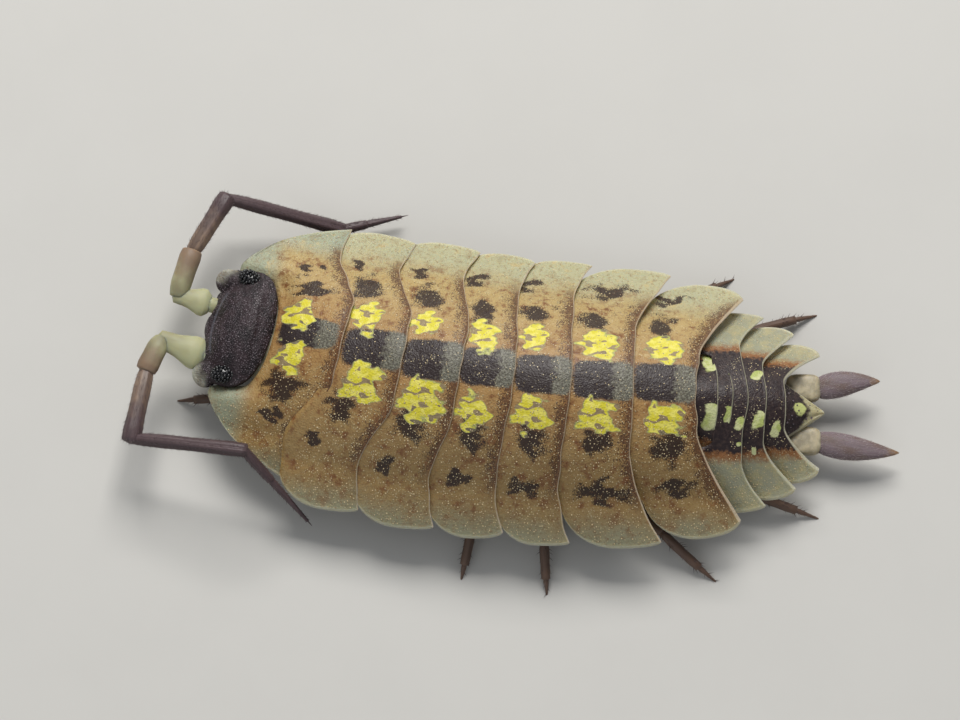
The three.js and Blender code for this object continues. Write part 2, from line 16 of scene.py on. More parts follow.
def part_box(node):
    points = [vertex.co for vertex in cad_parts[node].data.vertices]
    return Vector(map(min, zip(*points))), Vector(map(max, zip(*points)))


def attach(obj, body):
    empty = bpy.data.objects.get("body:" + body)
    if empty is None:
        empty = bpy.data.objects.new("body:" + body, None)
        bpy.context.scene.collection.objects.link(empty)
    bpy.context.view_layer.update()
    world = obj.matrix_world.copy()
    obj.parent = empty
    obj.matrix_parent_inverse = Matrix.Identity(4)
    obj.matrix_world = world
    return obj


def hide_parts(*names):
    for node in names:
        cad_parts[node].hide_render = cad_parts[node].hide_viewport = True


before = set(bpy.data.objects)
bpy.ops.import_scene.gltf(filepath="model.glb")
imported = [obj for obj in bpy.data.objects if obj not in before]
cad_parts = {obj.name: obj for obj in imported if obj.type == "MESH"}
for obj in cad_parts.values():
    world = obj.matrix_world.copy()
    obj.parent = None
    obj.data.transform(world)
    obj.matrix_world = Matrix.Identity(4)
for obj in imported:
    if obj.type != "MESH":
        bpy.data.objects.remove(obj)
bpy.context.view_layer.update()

MM = 0.001
SEED = 7

# The body's plan, in millimetres and degrees: length along the middle, heading, half width, rim height, how
# far the rear corner lies behind the middle of the rear edge, how far that edge dips forward beside the
# middle, where it turns back to the corner, the width of its front as a share of its full width, and how
# much of the width it loses at its rear corners.
Plate = namedtuple("Plate", "name long heading half rim corner dip turn round taper")
PLATES = [
    Plate("pereonite_1", 1.45, 6.5, 2.66, 0.8, -0.5, 0.55, 0.78, 0.53, 0.0),
    Plate("pereonite_2", 1.22, 4.5, 2.88, 0.8, -0.32, 0.48, 0.74, 0.78, 0.04),
    Plate("pereonite_3", 1.15, 2.5, 2.95, 0.8, -0.1, 0.3, 0.74, 0.78, 0.04),
    Plate("pereonite_4", 1.04, 0.0, 2.93, 0.8, 0.1, 0.13, 0.74, 0.78, 0.06),
    Plate("pereonite_5", 1.1, -2.2, 2.92, 0.8, 0.2, 0.09, 0.68, 0.76, 0.03),
    Plate("pereonite_6", 1.2, -4.0, 2.86, 0.78, 0.68, 0.0, 0.46, 0.7, 0.055),
    Plate("pereonite_7", 1.22, -5.5, 2.6, 0.74, 0.95, -0.04, 0.3, 0.68, 0.14),
    Plate("pleonite_1", 0.45, -6.0, 1.3, 1.1, -0.1, 0.1, 0.8, 0.95, 0.0),
    Plate("pleonite_2", 0.28, -6.2, 1.26, 1.05, -0.12, 0.12, 0.8, 0.95, 0.0),
    Plate("pleonite_3", 0.3, -6.5, 2.05, 0.68, 0.36, 0.14, 0.62, 0.8, 0.07),
    Plate("pleonite_4", 0.35, -6.5, 1.77, 0.66, 0.6, 0.04, 0.5, 0.78, 0.12),
    Plate("pleonite_5", 0.38, -6.5, 1.42, 0.64, 0.7, 0.0, 0.4, 0.76, 0.2),
]
CHEST = 7  # how many of the plates are the chest's
MIDDLE = 3  # the plate from whose frame the others are walked
TILE_RISE = 0.055  # how far a plate's rear edge is raised and its front sunk, as tiles lie
TILE_SINK = 0.055
TUCK = 0.3  # how far a plate's front reaches in under the plate ahead
DIP_BEGINS = 0.28  # where a deep dip of the rear edge begins, as a share of the way out
FLARE = 0.45  # power of the first plate's widening towards its rear
SQUARENESS = 2.35  # power of the head's outline
NECK_SHIFT = -0.15  # how far the first plate is moved sideways
# The line of the back, seen from the side, about the fourth plate's rear edge.
BACK = {"top": 2.5, "base": 0.6, "ahead": 7.0, "behind": 6.4, "power": 0.8}

# Markings on each plate: (x, y, half width, half length) in the plate's own frame.
Marks = namedtuple("Marks", "dark yellow brown")
MARKS = [
    Marks(
        (-0.05, -0.72, 0.3, 0.6),
        [(-0.45, -1.02, 0.31, 0.28), (0.45, -0.95, 0.28, 0.3)],
        [
            (-1.02, -0.84, 0.15, 0.4), (-1.45, -1.15, 0.1, 0.14), (-1.55, -0.78, 0.1, 0.12),
            (1.03, -0.98, 0.28, 0.34), (1.6, -1.15, 0.1, 0.15),
        ],
    ),
    Marks(
        (-0.1, -0.58, 0.4, 0.64),
        [(-0.72, -0.86, 0.34, 0.28), (0.6, -0.7, 0.36, 0.36)],
        [
            (-1.46, -1.0, 0.24, 0.3), (-2.05, -1.35, 0.13, 0.13), (1.1, -1.02, 0.25, 0.25),
            (1.7, -1.42, 0.12, 0.14),
        ],
    ),
    Marks(
        (-0.05, -0.56, 0.42, 0.6),
        [(-0.8, -0.8, 0.26, 0.28), (0.75, -0.64, 0.38, 0.4)],
        [
            (-1.45, -0.86, 0.28, 0.3), (-2.12, -1.15, 0.12, 0.16), (1.2, -0.84, 0.28, 0.32),
            (1.93, -1.2, 0.12, 0.12),
        ],
    ),
    Marks(
        (-0.07, -0.52, 0.4, 0.54),
        [(-0.72, -0.68, 0.35, 0.3), (0.82, -0.72, 0.3, 0.26)],
        [
            (-1.32, -0.78, 0.32, 0.26), (-2.16, -0.95, 0.13, 0.24), (1.24, -0.76, 0.25, 0.26),
            (1.97, -0.9, 0.15, 0.2),
        ],
    ),
    Marks(
        (-0.05, -0.54, 0.4, 0.56),
        [(-0.82, -0.76, 0.35, 0.26), (0.72, -0.7, 0.3, 0.32)],
        [
            (-1.45, -0.8, 0.22, 0.3), (-2.2, -0.92, 0.13, 0.24), (1.2, -0.74, 0.25, 0.26),
            (2.0, -0.82, 0.12, 0.28),
        ],
    ),
    Marks(
        (-0.06, -0.58, 0.4, 0.6),
        [(-0.82, -0.68, 0.36, 0.36), (0.64, -0.66, 0.28, 0.36)],
        [
            (-1.4, -0.82, 0.24, 0.3), (-2.24, -0.5, 0.17, 0.5), (1.12, -0.7, 0.2, 0.26),
            (1.94, -0.46, 0.15, 0.52),
        ],
    ),
    Marks(
        (-0.14, -0.6, 0.4, 0.62),
        [(-0.88, -0.6, 0.31, 0.36), (0.58, -0.58, 0.25, 0.36)],
        [
            (-1.42, -0.66, 0.28, 0.24), (-2.18, -0.46, 0.1, 0.4), (1.05, -0.5, 0.26, 0.34),
            (1.77, -0.33, 0.13, 0.34),
        ],
    ),
    Marks(
        None,
        [(-0.8, -0.16, 0.3, 0.15), (0.44, -0.13, 0.22, 0.17)],
        [],
    ),
    Marks(
        None,
        [(-0.68, -0.08, 0.22, 0.12), (0.42, -0.07, 0.16, 0.12)],
        [],
    ),
    Marks(
        None,
        [(0.5, -0.14, 0.13, 0.11), (0.86, -0.2, 0.06, 0.05)],
        [],
    ),
    Marks(
        None,
        [(-0.5, -0.16, 0.12, 0.11), (0.43, -0.16, 0.15, 0.13), (0.97, -0.24, 0.08, 0.06)],
        [],
    ),
    Marks(
        None,
        [(0.5, -0.17, 0.15, 0.09)],
        [],
    ),
]

# The camera: the photograph's viewing angle, the point that it looks at and how far off it stands.
CAMERA = {"azimuth": 97.0, "elevation": 73.0, "away": 110.0, "lens": 213.7, "target": (-0.156, -0.7, 2.573)}


# Frames

Frame = namedtuple("Frame", "x y heading")


def box_mm(node):
    """Lowest and highest corner of a node of the frame, in millimetres."""
    low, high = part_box(node)
    return np.array(low) / MM, np.array(high) / MM


def base_point():
    """The floor point below the middle of the fourth plate's rear edge."""
    low, high = box_mm(PLATES[MIDDLE].name)
    return (low[0] + high[0]) / 2, high[1] - PLATES[MIDDLE].corner


BASE = base_point()


def plate_frames():
    """Each plate's frame, walked forwards and backwards from the fourth."""
    found = {MIDDLE: Frame(*BASE, 0.0)}

    def step(start, distance, heading, own):
        turn = math.radians(heading)
        return Frame(start.x + distance * math.sin(turn), start.y + distance * math.cos(turn), own)

    for i in range(MIDDLE + 1, len(PLATES)):
        between = (PLATES[i].heading + PLATES[i - 1].heading) / 2
        found[i] = step(found[i - 1], PLATES[i].long, between, PLATES[i].heading)
    for i in range(MIDDLE - 1, -1, -1):
        between = (PLATES[i].heading + PLATES[i + 1].heading) / 2
        found[i] = step(found[i + 1], -PLATES[i + 1].long, between, PLATES[i].heading)
    found[0] = found[0]._replace(x=found[0].x + NECK_SHIFT)
    return found


FRAMES = plate_frames()
HEAD_HEADING = 8.0
NECK = math.radians(7.25)
HEAD_FRAME = Frame(
    FRAMES[0].x - PLATES[0].long * math.sin(NECK),
    FRAMES[0].y - PLATES[0].long * math.cos(NECK),
    HEAD_HEADING,
)
TAIL_FRAME = FRAMES[len(PLATES) - 1]


def to_part(points, own):
    """Points of a frame, moved into the part's frame."""
    points = np.asarray(points, float)
    turn = math.radians(own.heading)
    x = own.x + points[..., 0] * math.cos(turn) + points[..., 1] * math.sin(turn)
    y = own.y - points[..., 0] * math.sin(turn) + points[..., 1] * math.cos(turn)
    return np.stack([x, y, points[..., 2]], axis=-1)


def into_frame(points, own):
    """Points of the part's frame, as a frame of its own sees them."""
    turn = math.radians(own.heading)
    x, y = points[:, 0] - own.x, points[:, 1] - own.y
    across = x * math.cos(turn) - y * math.sin(turn)
    along = x * math.sin(turn) + y * math.cos(turn)
    return np.stack([across, along, points[:, 2]], axis=1)


# Numbers


def smooth(t):
    """From 0 to 1 with soft ends."""
    t = np.clip(t, 0, 1)
    return t * t * (3 - 2 * t)


def mix(a, b, t):
    return a + (b - a) * t


def ripple(x, y, seed, waves=7, scale=1.0):
    """A smooth uneven field of about -1 to 1, from waves of seeded directions."""
    draw = np.random.default_rng(SEED + seed)
    total = 0
    for _ in range(waves):
        angle = draw.uniform(0, 2 * math.pi)
        rate = scale * draw.uniform(0.6, 1.8)
        shift = draw.uniform(0, 2 * math.pi)
        total = total + np.sin(rate * (x * math.cos(angle) + y * math.sin(angle)) + shift)
    return total / math.sqrt(waves)


def bell(value, centre, width):
    """A smooth hump: 1 where the value is at the centre, and near 0 two widths away."""
    return np.exp(-(((value - centre) / width) ** 2))


def power_curve(value, power):
    """A power of a value that keeps its sign."""
    return np.sign(value) * np.abs(value) ** power


# Meshes


def add_map(mesh, name, values):
    """A UV map with a value for each vertex."""
    corner = np.empty(len(mesh.loops), dtype=np.int64)
    mesh.loops.foreach_get("vertex_index", corner)
    layer = mesh.uv_layers.new(name=name)
    layer.data.foreach_set("uv", np.asarray(values, float)[corner].ravel())


def shade_smooth(mesh):
    mesh.polygons.foreach_set("use_smooth", [True] * len(mesh.polygons))


def make_mesh(name, points, faces, materials, maps=None):
    """A smooth-shaded mesh object in millimetres, with UV maps given for each vertex."""
    mesh = bpy.data.meshes.new(name)
    faces = faces.tolist() if isinstance(faces, np.ndarray) else faces
    mesh.from_pydata(np.asarray(points).tolist(), [], faces)
    for key, values in (maps or {}).items():
        add_map(mesh, key, values)
    for material in materials:
        mesh.materials.append(material)
    shade_smooth(mesh)
    mesh.update()
    made = bpy.data.objects.new(name, mesh)
    bpy.context.scene.collection.objects.link(made)
    return made


def gathered(parts):
    """The points and faces of several shapes as those of one."""
    points, faces, count = [], [], 0
    for some, theirs in parts:
        points.append(some)
        faces += [[i + count for i in face] for face in theirs]
        count += len(some)
    return np.concatenate(points), faces


def grid_faces(rows, cols, first=0, flip=False, around=False):
    """Quads between rows of points. around joins each row's last point to its first."""
    r, c = np.meshgrid(np.arange(rows - 1), np.arange(cols if around else cols - 1), indexing="ij")
    a = first + r * cols + c
    b = first + r * cols + (c + 1) % cols
    quads = np.stack([a, b, b + cols, a + cols], axis=-1).reshape(-1, 4)
    return quads[:, ::-1] if flip else quads


def capped_faces(rings, around):
    """Quads round stacked rings, closed below and above by a flat face."""
    last = (rings - 1) * around
    caps = [list(range(around))[::-1], list(range(last, last + around))]
    return grid_faces(rings, around, around=True).tolist() + caps


def fanned_faces(rings, around, first=0):
    """Quads round stacked rings, closed by fans to the two points after them: the lower and the upper."""
    faces = grid_faces(rings, around, first=first, around=True).tolist()
    low = first + rings * around
    last = low - around
    for s in range(around):
        after = (s + 1) % around
        faces.append([first + after, first + s, low])
        faces.append([last + s, last + after, low + 1])
    return faces


def slab_faces(rows, cols):
    """Faces of a closed slab whose top sheet comes first and its bottom sheet after."""
    under = rows * cols
    top = grid_faces(rows, cols)
    bottom = grid_faces(rows, cols, first=under, flip=True)
    edge = np.concatenate(
        [
            np.arange(cols),
            np.arange(1, rows) * cols + cols - 1,
            (rows - 1) * cols + np.arange(cols - 2, -1, -1),
            np.arange(rows - 2, 0, -1) * cols,
        ]
    )
    following = np.roll(edge, -1)
    wall = np.stack([edge, edge + under, following + under, following], axis=-1)
    return np.concatenate([top, bottom, wall])


def evaluated(made):
    """The object with its modifiers applied, as a plain mesh."""
    bpy.context.view_layer.update()
    graph = bpy.context.evaluated_depsgraph_get()
    mesh = bpy.data.meshes.new_from_object(made.evaluated_get(graph), depsgraph=graph)
    made.modifiers.clear()
    old, made.data = made.data, mesh
    bpy.data.meshes.remove(old)
    return made


def place(made, nodes=()):
    """Put a finished piece on the body: from millimetres to metres, in place of its CAD nodes."""
    made.data.transform(Matrix.Scale(MM, 4))
    made.data.update()
    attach(made, "root")
    if nodes:
        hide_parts(*nodes)
    return made


# Node helpers


class Graph:
    """Short calls for building a node tree."""

    def __init__(self, tree):
        self.tree = tree

    def node(self, kind, **settings):
        made = self.tree.nodes.new(kind)
        for key, value in settings.items():
            setattr(made, key, value)
        return made

    def feed(self, socket, value):
        if isinstance(value, bpy.types.NodeSocket):
            self.tree.links.new(value, socket)
        elif value is not None:
            socket.default_value = value

    def fed(self, kind, sockets, **settings):
        """A new node's outputs, with its inputs fed by name or number."""
        made = self.node(kind, **settings)
        for key, value in sockets.items():
            self.feed(made.inputs[key], value)
        return made.outputs

    def math(self, operation, first, second=None):
        return self.fed("ShaderNodeMath", {0: first, 1: second}, operation=operation)[0]

    def plus(self, first, second):
        return self.math("ADD", first, second)

    def minus(self, first, second):
        return self.math("SUBTRACT", first, second)

    def times(self, first, second):
        return self.math("MULTIPLY", first, second)

    def vector(self, operation, first, second):
        return self.fed("ShaderNodeVectorMath", {0: first, 1: second}, operation=operation)[0]

    def scaled(self, vector, factor):
        return self.fed("ShaderNodeVectorMath", {0: vector, "Scale": factor}, operation="SCALE")[0]

    def split(self, vector):
        return self.fed("ShaderNodeSeparateXYZ", {0: vector})

    def joined(self, x, y, z=0.0):
        return self.fed("ShaderNodeCombineXYZ", {0: x, 1: y, 2: z})[0]

    def noise(self, vector, scale, detail=3.0, rough=0.5):
        """A noise's even value and its colour."""
        settings = {"Vector": vector, "Scale": scale, "Detail": detail, "Roughness": rough}
        made = self.fed("ShaderNodeTexNoise", settings, noise_type="FBM")
        return made["Fac"], made["Color"]

    def cells(self, vector, scale):
        return self.fed("ShaderNodeTexVoronoi", {"Vector": vector, "Scale": scale}, feature="F1")["Distance"]

    def ramp(self, value, low, high):
        """0 below low and 1 above high, eased in between. low may be the larger, to turn it round."""
        ends = {"Value": value, "From Min": low, "From Max": high}
        return self.fed("ShaderNodeMapRange", ends, interpolation_type="SMOOTHSTEP")["Result"]

    def blend(self, share, first, second):
        """From the first colour, where the share is 0, to the second."""
        sockets = {"Factor": share, "A": colour(first), "B": colour(second)}
        return self.fed("ShaderNodeMix", sockets, data_type="RGBA", blend_type="MIX")["Result"]

    def over(self, base, mask, strength, tint):
        """A colour with a tint laid over it where the mask is 1, at the given strength."""
        return self.blend(self.times(mask, strength), base, tint)

    def shaken(self, value, noise, amount):
        """A value moved up and down by a noise."""
        return self.plus(value, self.times(self.minus(noise, 0.5), amount))

    def group(self, name, **values):
        sockets = {key.replace("_", " "): value for key, value in values.items()}
        return self.fed("ShaderNodeGroup", sockets, node_tree=bpy.data.node_groups[name])


def colour(value):
    return (*value, 1.0) if isinstance(value, tuple) and len(value) == 3 else value


def new_group(name, inputs, outputs, kind="Shader"):
    """A node group with named sockets. Returns its Graph, the inputs and a call that sets outputs."""
    tree = bpy.data.node_groups.new(name, f"{kind}NodeTree")
    for key, socket_kind, value in inputs:
        socket = tree.interface.new_socket(key, in_out="INPUT", socket_type=f"NodeSocket{socket_kind}")
        if value is not None:
            socket.default_value = value
    for key, socket_kind in outputs:
        tree.interface.new_socket(key, in_out="OUTPUT", socket_type=f"NodeSocket{socket_kind}")
    graph = Graph(tree)
    entry = graph.node("NodeGroupInput")
    leave = graph.node("NodeGroupOutput")

    def give(**results):
        for key, value in results.items():
            graph.feed(leave.inputs[key], value)

    return graph, entry.outputs, give


def make_place_group():
    """Place in millimetres, from the object's own coordinates."""
    graph, _, give = new_group("Place", [], [("Vector", "Vector")])
    here = graph.node("ShaderNodeTexCoord").outputs["Object"]
    give(Vector=graph.scaled(here, 1 / MM))


def make_blot_group():
    """A spot with a frayed, grainy edge: a rounded box, shaken by a noise that is drawn out lengthwise."""
    graph, given, give = new_group(
        "Blot",
        [
            ("Place", "Vector", None),
            ("X", "Float", 0.0),
            ("Y", "Float", 0.0),
            ("Half Width", "Float", 0.3),
            ("Half Length", "Float", 0.3),
            ("Squareness", "Float", 2.0),
            ("Fray", "Float", 0.3),
            ("Fineness", "Float", 6.0),
            ("Grain", "Float", 0.4),
            ("Soft", "Float", 0.15),
        ],
        [("Mask", "Float")],
    )
    drawn_out = graph.vector("MULTIPLY", given["Place"], (1.45, 0.8, 1.0))
    _, shake = graph.noise(drawn_out, given["Fineness"], 1.4, 0.4)
    centred = graph.vector("SUBTRACT", shake, (0.5, 0.5, 0.5))
    moved = graph.vector("ADD", given["Place"], graph.scaled(centred, given["Fray"]))
    x, y, _ = graph.split(moved)
    across = graph.math("DIVIDE", graph.minus(x, given["X"]), given["Half Width"])
    along = graph.math("DIVIDE", graph.minus(y, given["Y"]), given["Half Length"])
    power = given["Squareness"]
    first = graph.math("POWER", graph.math("ABSOLUTE", across), power)
    second = graph.math("POWER", graph.math("ABSOLUTE", along), power)
    reach = graph.math("POWER", graph.plus(first, second), graph.math("DIVIDE", 1.0, power))
    grains, _ = graph.noise(given["Place"], 34.0, 3.0, 0.7)
    grainy = graph.times(graph.minus(grains, 0.5), given["Grain"])
    low = graph.plus(1.0, given["Soft"])
    high = graph.minus(1.0, given["Soft"])
    give(Mask=graph.ramp(graph.plus(reach, grainy), low, high))


def make_grain_group():
    """Fine unevenness of a shell: a height for bump, and a scatter of small pale specks, partly the granules'
    own pale colour and partly painted glints on them.
    """
    graph, given, give = new_group(
        "Shell Grain",
        [("Place", "Vector", None), ("Size", "Float", 0.05), ("Speck Share", "Float", 0.3)],
        [("Height", "Float"), ("Specks", "Float")],
    )
    rate = graph.math("DIVIDE", 1.0, given["Size"])
    pits = graph.cells(given["Place"], rate)
    coarse, _ = graph.noise(given["Place"], graph.times(rate, 0.35), 4.0, 0.6)
    bumps = graph.ramp(pits, 0.75, 0.1)
    chosen = graph.cells(given["Place"], graph.times(rate, 0.8))
    patchy, _ = graph.noise(given["Place"], graph.times(rate, 0.12), 2.0)
    speck = graph.times(graph.ramp(chosen, 0.3, 0.12), graph.ramp(patchy, 0.52, 0.62))
    height = graph.plus(graph.times(bumps, 0.6), coarse)
    give(Height=height, Specks=graph.times(speck, given["Speck Share"]))


def make_striae_group():
    """Fine lines along a limb, from a map whose first axis runs round it and second along it."""
    graph, given, give = new_group(
        "Striae",
        [("Map", "Vector", None), ("Lines", "Float", 60.0), ("Length", "Float", 3.0)],
        [("Height", "Float"), ("Streak", "Float")],
    )
    x, y, _ = graph.split(given["Map"])
    around = graph.times(x, given["Lines"])
    along = graph.times(y, given["Length"])
    fine, _ = graph.noise(graph.joined(around, along), 1.0, 3.0, 0.6)
    broad, _ = graph.noise(graph.joined(graph.times(around, 0.3), along), 1.0, 2.0)
    give(Height=fine, Streak=graph.ramp(broad, 0.4, 0.62))


# Materials


def new_material(name):
    """A material, its Graph, its Principled shader and the place in millimetres."""
    material = bpy.data.materials.new(name)
    material.use_nodes = True
    material.node_tree.nodes.clear()
    graph = Graph(material.node_tree)
    shader = graph.node("ShaderNodeBsdfPrincipled")
    leave = graph.node("ShaderNodeOutputMaterial")
    graph.feed(leave.inputs["Surface"], shader.outputs["BSDF"])
    return material, graph, shader, graph.group("Place")["Vector"]


def set_shader(graph, shader, base, roughness=0.4, glow=0.0, radius=0.25, coat=0.0, bumps=()):
    """Fill a Principled shader. glow is how far light soaks in, and bumps are (height, depth) pairs."""
    graph.feed(shader.inputs["Base Color"], colour(base))
    graph.feed(shader.inputs["Roughness"], roughness)
    shader.inputs["IOR"].default_value = 1.42
    shader.inputs["Coat Weight"].default_value = coat
    shader.inputs["Coat Roughness"].default_value = 0.25
    graph.feed(shader.inputs["Subsurface Weight"], glow)
    shader.inputs["Subsurface Radius"].default_value = (1.0, 0.75, 0.45)
    shader.inputs["Subsurface Scale"].default_value = radius * MM
    normal = None
    for height, depth in bumps:
        bump = graph.node("ShaderNodeBump")
        bump.inputs["Distance"].default_value = depth * MM
        bump.inputs["Strength"].default_value = 0.8
        graph.feed(bump.inputs["Height"], height)
        graph.feed(bump.inputs["Normal"], normal)
        normal = bump.outputs["Normal"]
    if normal:
        graph.feed(shader.inputs["Normal"], normal)


AMBER = (0.39, 0.225, 0.08)
# Lit and shaded copies of the shell's colours. The first of each pair is painted light for the far side,
# which faces the key lamp, and the second is painted shade for the near side.
HONEY_PAINTED_LIGHT = (0.48, 0.34, 0.14)
HONEY_PAINTED_SHADE = (0.34, 0.215, 0.078)
SKIRT_PAINTED_LIGHT = (0.46, 0.44, 0.27)
SKIRT_PAINTED_SHADE = (0.29, 0.29, 0.19)
# The first plate's grey-green skirt, painted light for the far side. Its copy in painted shade for the near
# side stands further down.
GREYGREEN_PAINTED_LIGHT = (0.36, 0.385, 0.27)
RUST = (0.2, 0.08, 0.024)
STRAW = (0.55, 0.42, 0.2)
BAND = (0.045, 0.014, 0.008)
BAND_LIGHT = (0.14, 0.052, 0.02)
DARK = (0.014, 0.01, 0.015)
OLIVEGREY = (0.2, 0.2, 0.15)
YELLOW = (0.7, 0.62, 0.04)
LEMON = (0.82, 0.74, 0.14)
LIME = (0.4, 0.42, 0.13)
TAIL_SPOT = (0.44, 0.5, 0.15)
TAIL_SPOT_PALE = (0.64, 0.66, 0.34)
BROWN = (0.022, 0.009, 0.006)
RIM = (0.55, 0.52, 0.38)
SEAM = (0.6, 0.47, 0.33)
# Pale specks: partly the granules' own colour, partly painted glints.
SPECK_AND_GLINT = (0.75, 0.66, 0.42)
ORANGE = (0.28, 0.12, 0.04)
SOOT = (0.018, 0.009, 0.011)
SOOT_BROWN = (0.05, 0.03, 0.026)
# The first plate's grey-green skirt in painted shade for the near side.
GREYGREEN_PAINTED_SHADE = (0.27, 0.29, 0.2)
MOULD = (0.08, 0.075, 0.06)
LILAC = (0.26, 0.23, 0.26)
STAIN = (0.26, 0.22, 0.13)
CLEAR_GREEN = (0.33, 0.33, 0.23)
CLEAR_STRAW = (0.42, 0.38, 0.22)
POINT_DARK = (0.018, 0.01, 0.012)
POINT_LIGHT = (0.05, 0.03, 0.028)
POINT_SPOT = (0.5, 0.53, 0.2)
HEAD_DARK = (0.009, 0.005, 0.007)
HEAD_LIGHT = (0.03, 0.016, 0.02)
HEAD_STREAK = (0.13, 0.1, 0.11)
# The head's pale specks: partly the granules' own colour, partly painted glints.
HEAD_SPECK_AND_GLINT = (0.4, 0.36, 0.38)
BROW = (0.2, 0.21, 0.26)
FROST_DARK = (0.22, 0.2, 0.16)
FROST_LIGHT = (0.36, 0.36, 0.3)


def surface_map(graph, name="plan"):
    return graph.node("ShaderNodeUVMap", uv_map=name).outputs[0]


def spots(graph, plan, marks, **settings):
    """The masks of several spots, each (x, y, half width, half length), joined into one."""
    mask = 0.0
    for x, y, wide, long in marks:
        spot = graph.group("Blot", Place=plan, X=x, Y=y, Half_Width=wide, Half_Length=long, **settings)
        mask = graph.math("MAXIMUM", mask, spot["Mask"])
    return mask


def add_specks(graph, base, place_mm, size, share, tint=SPECK_AND_GLINT):
    """The shell's specks laid over a colour, partly pale granules and partly painted glints. Returns the
    colour and the grain's height for bump.
    """
    grain = graph.group("Shell Grain", Place=place_mm, Size=size, Speck_Share=share)
    return graph.blend(grain["Specks"], base, tint), grain["Height"]


def add_side_rim(graph, base, gap, strength=0.7):
    """The pale line along a shell's side edge."""
    return graph.over(base, graph.ramp(gap, 0.045, 0.02), strength, RIM)


# How each kind of mark is drawn by the Blot group.
DARK_MARK = {"Squareness": 5.0, "Fray": 0.1, "Fineness": 5.0, "Grain": 0.4, "Soft": 0.08}
BROWN_MARK = {"Squareness": 2.0, "Fray": 0.6, "Fineness": 3.6, "Grain": 2.2, "Soft": 0.2}
YELLOW_MARK = {"Squareness": 2.6, "Fray": 0.62, "Fineness": 3.8, "Grain": 0.12, "Soft": 0.18}
TAIL_MARK = {"Squareness": 2.4, "Fray": 0.22, "Fineness": 4.0, "Grain": 0.3, "Soft": 0.1}
POINT_MARK = {"Fray": 0.1, "Fineness": 6.0, "Soft": 0.15}


def marks_over(graph, base, plan, marks):
    """The dark middle, the brown patches and the yellow blotches of one plate, laid over its colour."""
    grains, _ = graph.noise(plan, 26.0, 3.0, 0.7)
    tone, _ = graph.noise(plan, 8.0, 2.0, 0.5)
    holes, _ = graph.noise(graph.vector("MULTIPLY", plan, (1.5, 0.8, 1.0)), 5.0, 1.0, 0.4)
    if marks.dark:
        y = marks.dark[1]
        dark = spots(graph, plan, [marks.dark], **DARK_MARK)
        along = graph.plus(graph.split(plan)["Y"], graph.times(tone, 0.5))
        rearward = graph.ramp(along, y + 0.36, y + 0.52)
        mottled = graph.blend(graph.ramp(grains, 0.44, 0.58), MOULD, OLIVEGREY)
        middle = graph.blend(rearward, DARK, mottled)
        middle = graph.over(middle, graph.ramp(grains, 0.57, 0.68), 0.3, LILAC)
        base = graph.over(base, dark, 0.96, middle)
    if marks.brown:
        patch = spots(graph, plan, marks.brown, **BROWN_MARK)
        base = graph.over(base, patch, 0.95, BROWN)
    if marks.yellow:
        spot = spots(graph, plan, marks.yellow, **YELLOW_MARK)
        base = graph.over(base, graph.ramp(spot, 0.1, 0.4), 0.7, STAIN)
        solid = graph.times(graph.ramp(spot, 0.3, 0.45), graph.ramp(holes, 0.39, 0.43))
        paint = graph.blend(graph.ramp(tone, 0.42, 0.62), YELLOW, LEMON)
        base = graph.blend(solid, base, graph.blend(graph.ramp(spot, 0.4, 0.95), LIME, paint))
    return base


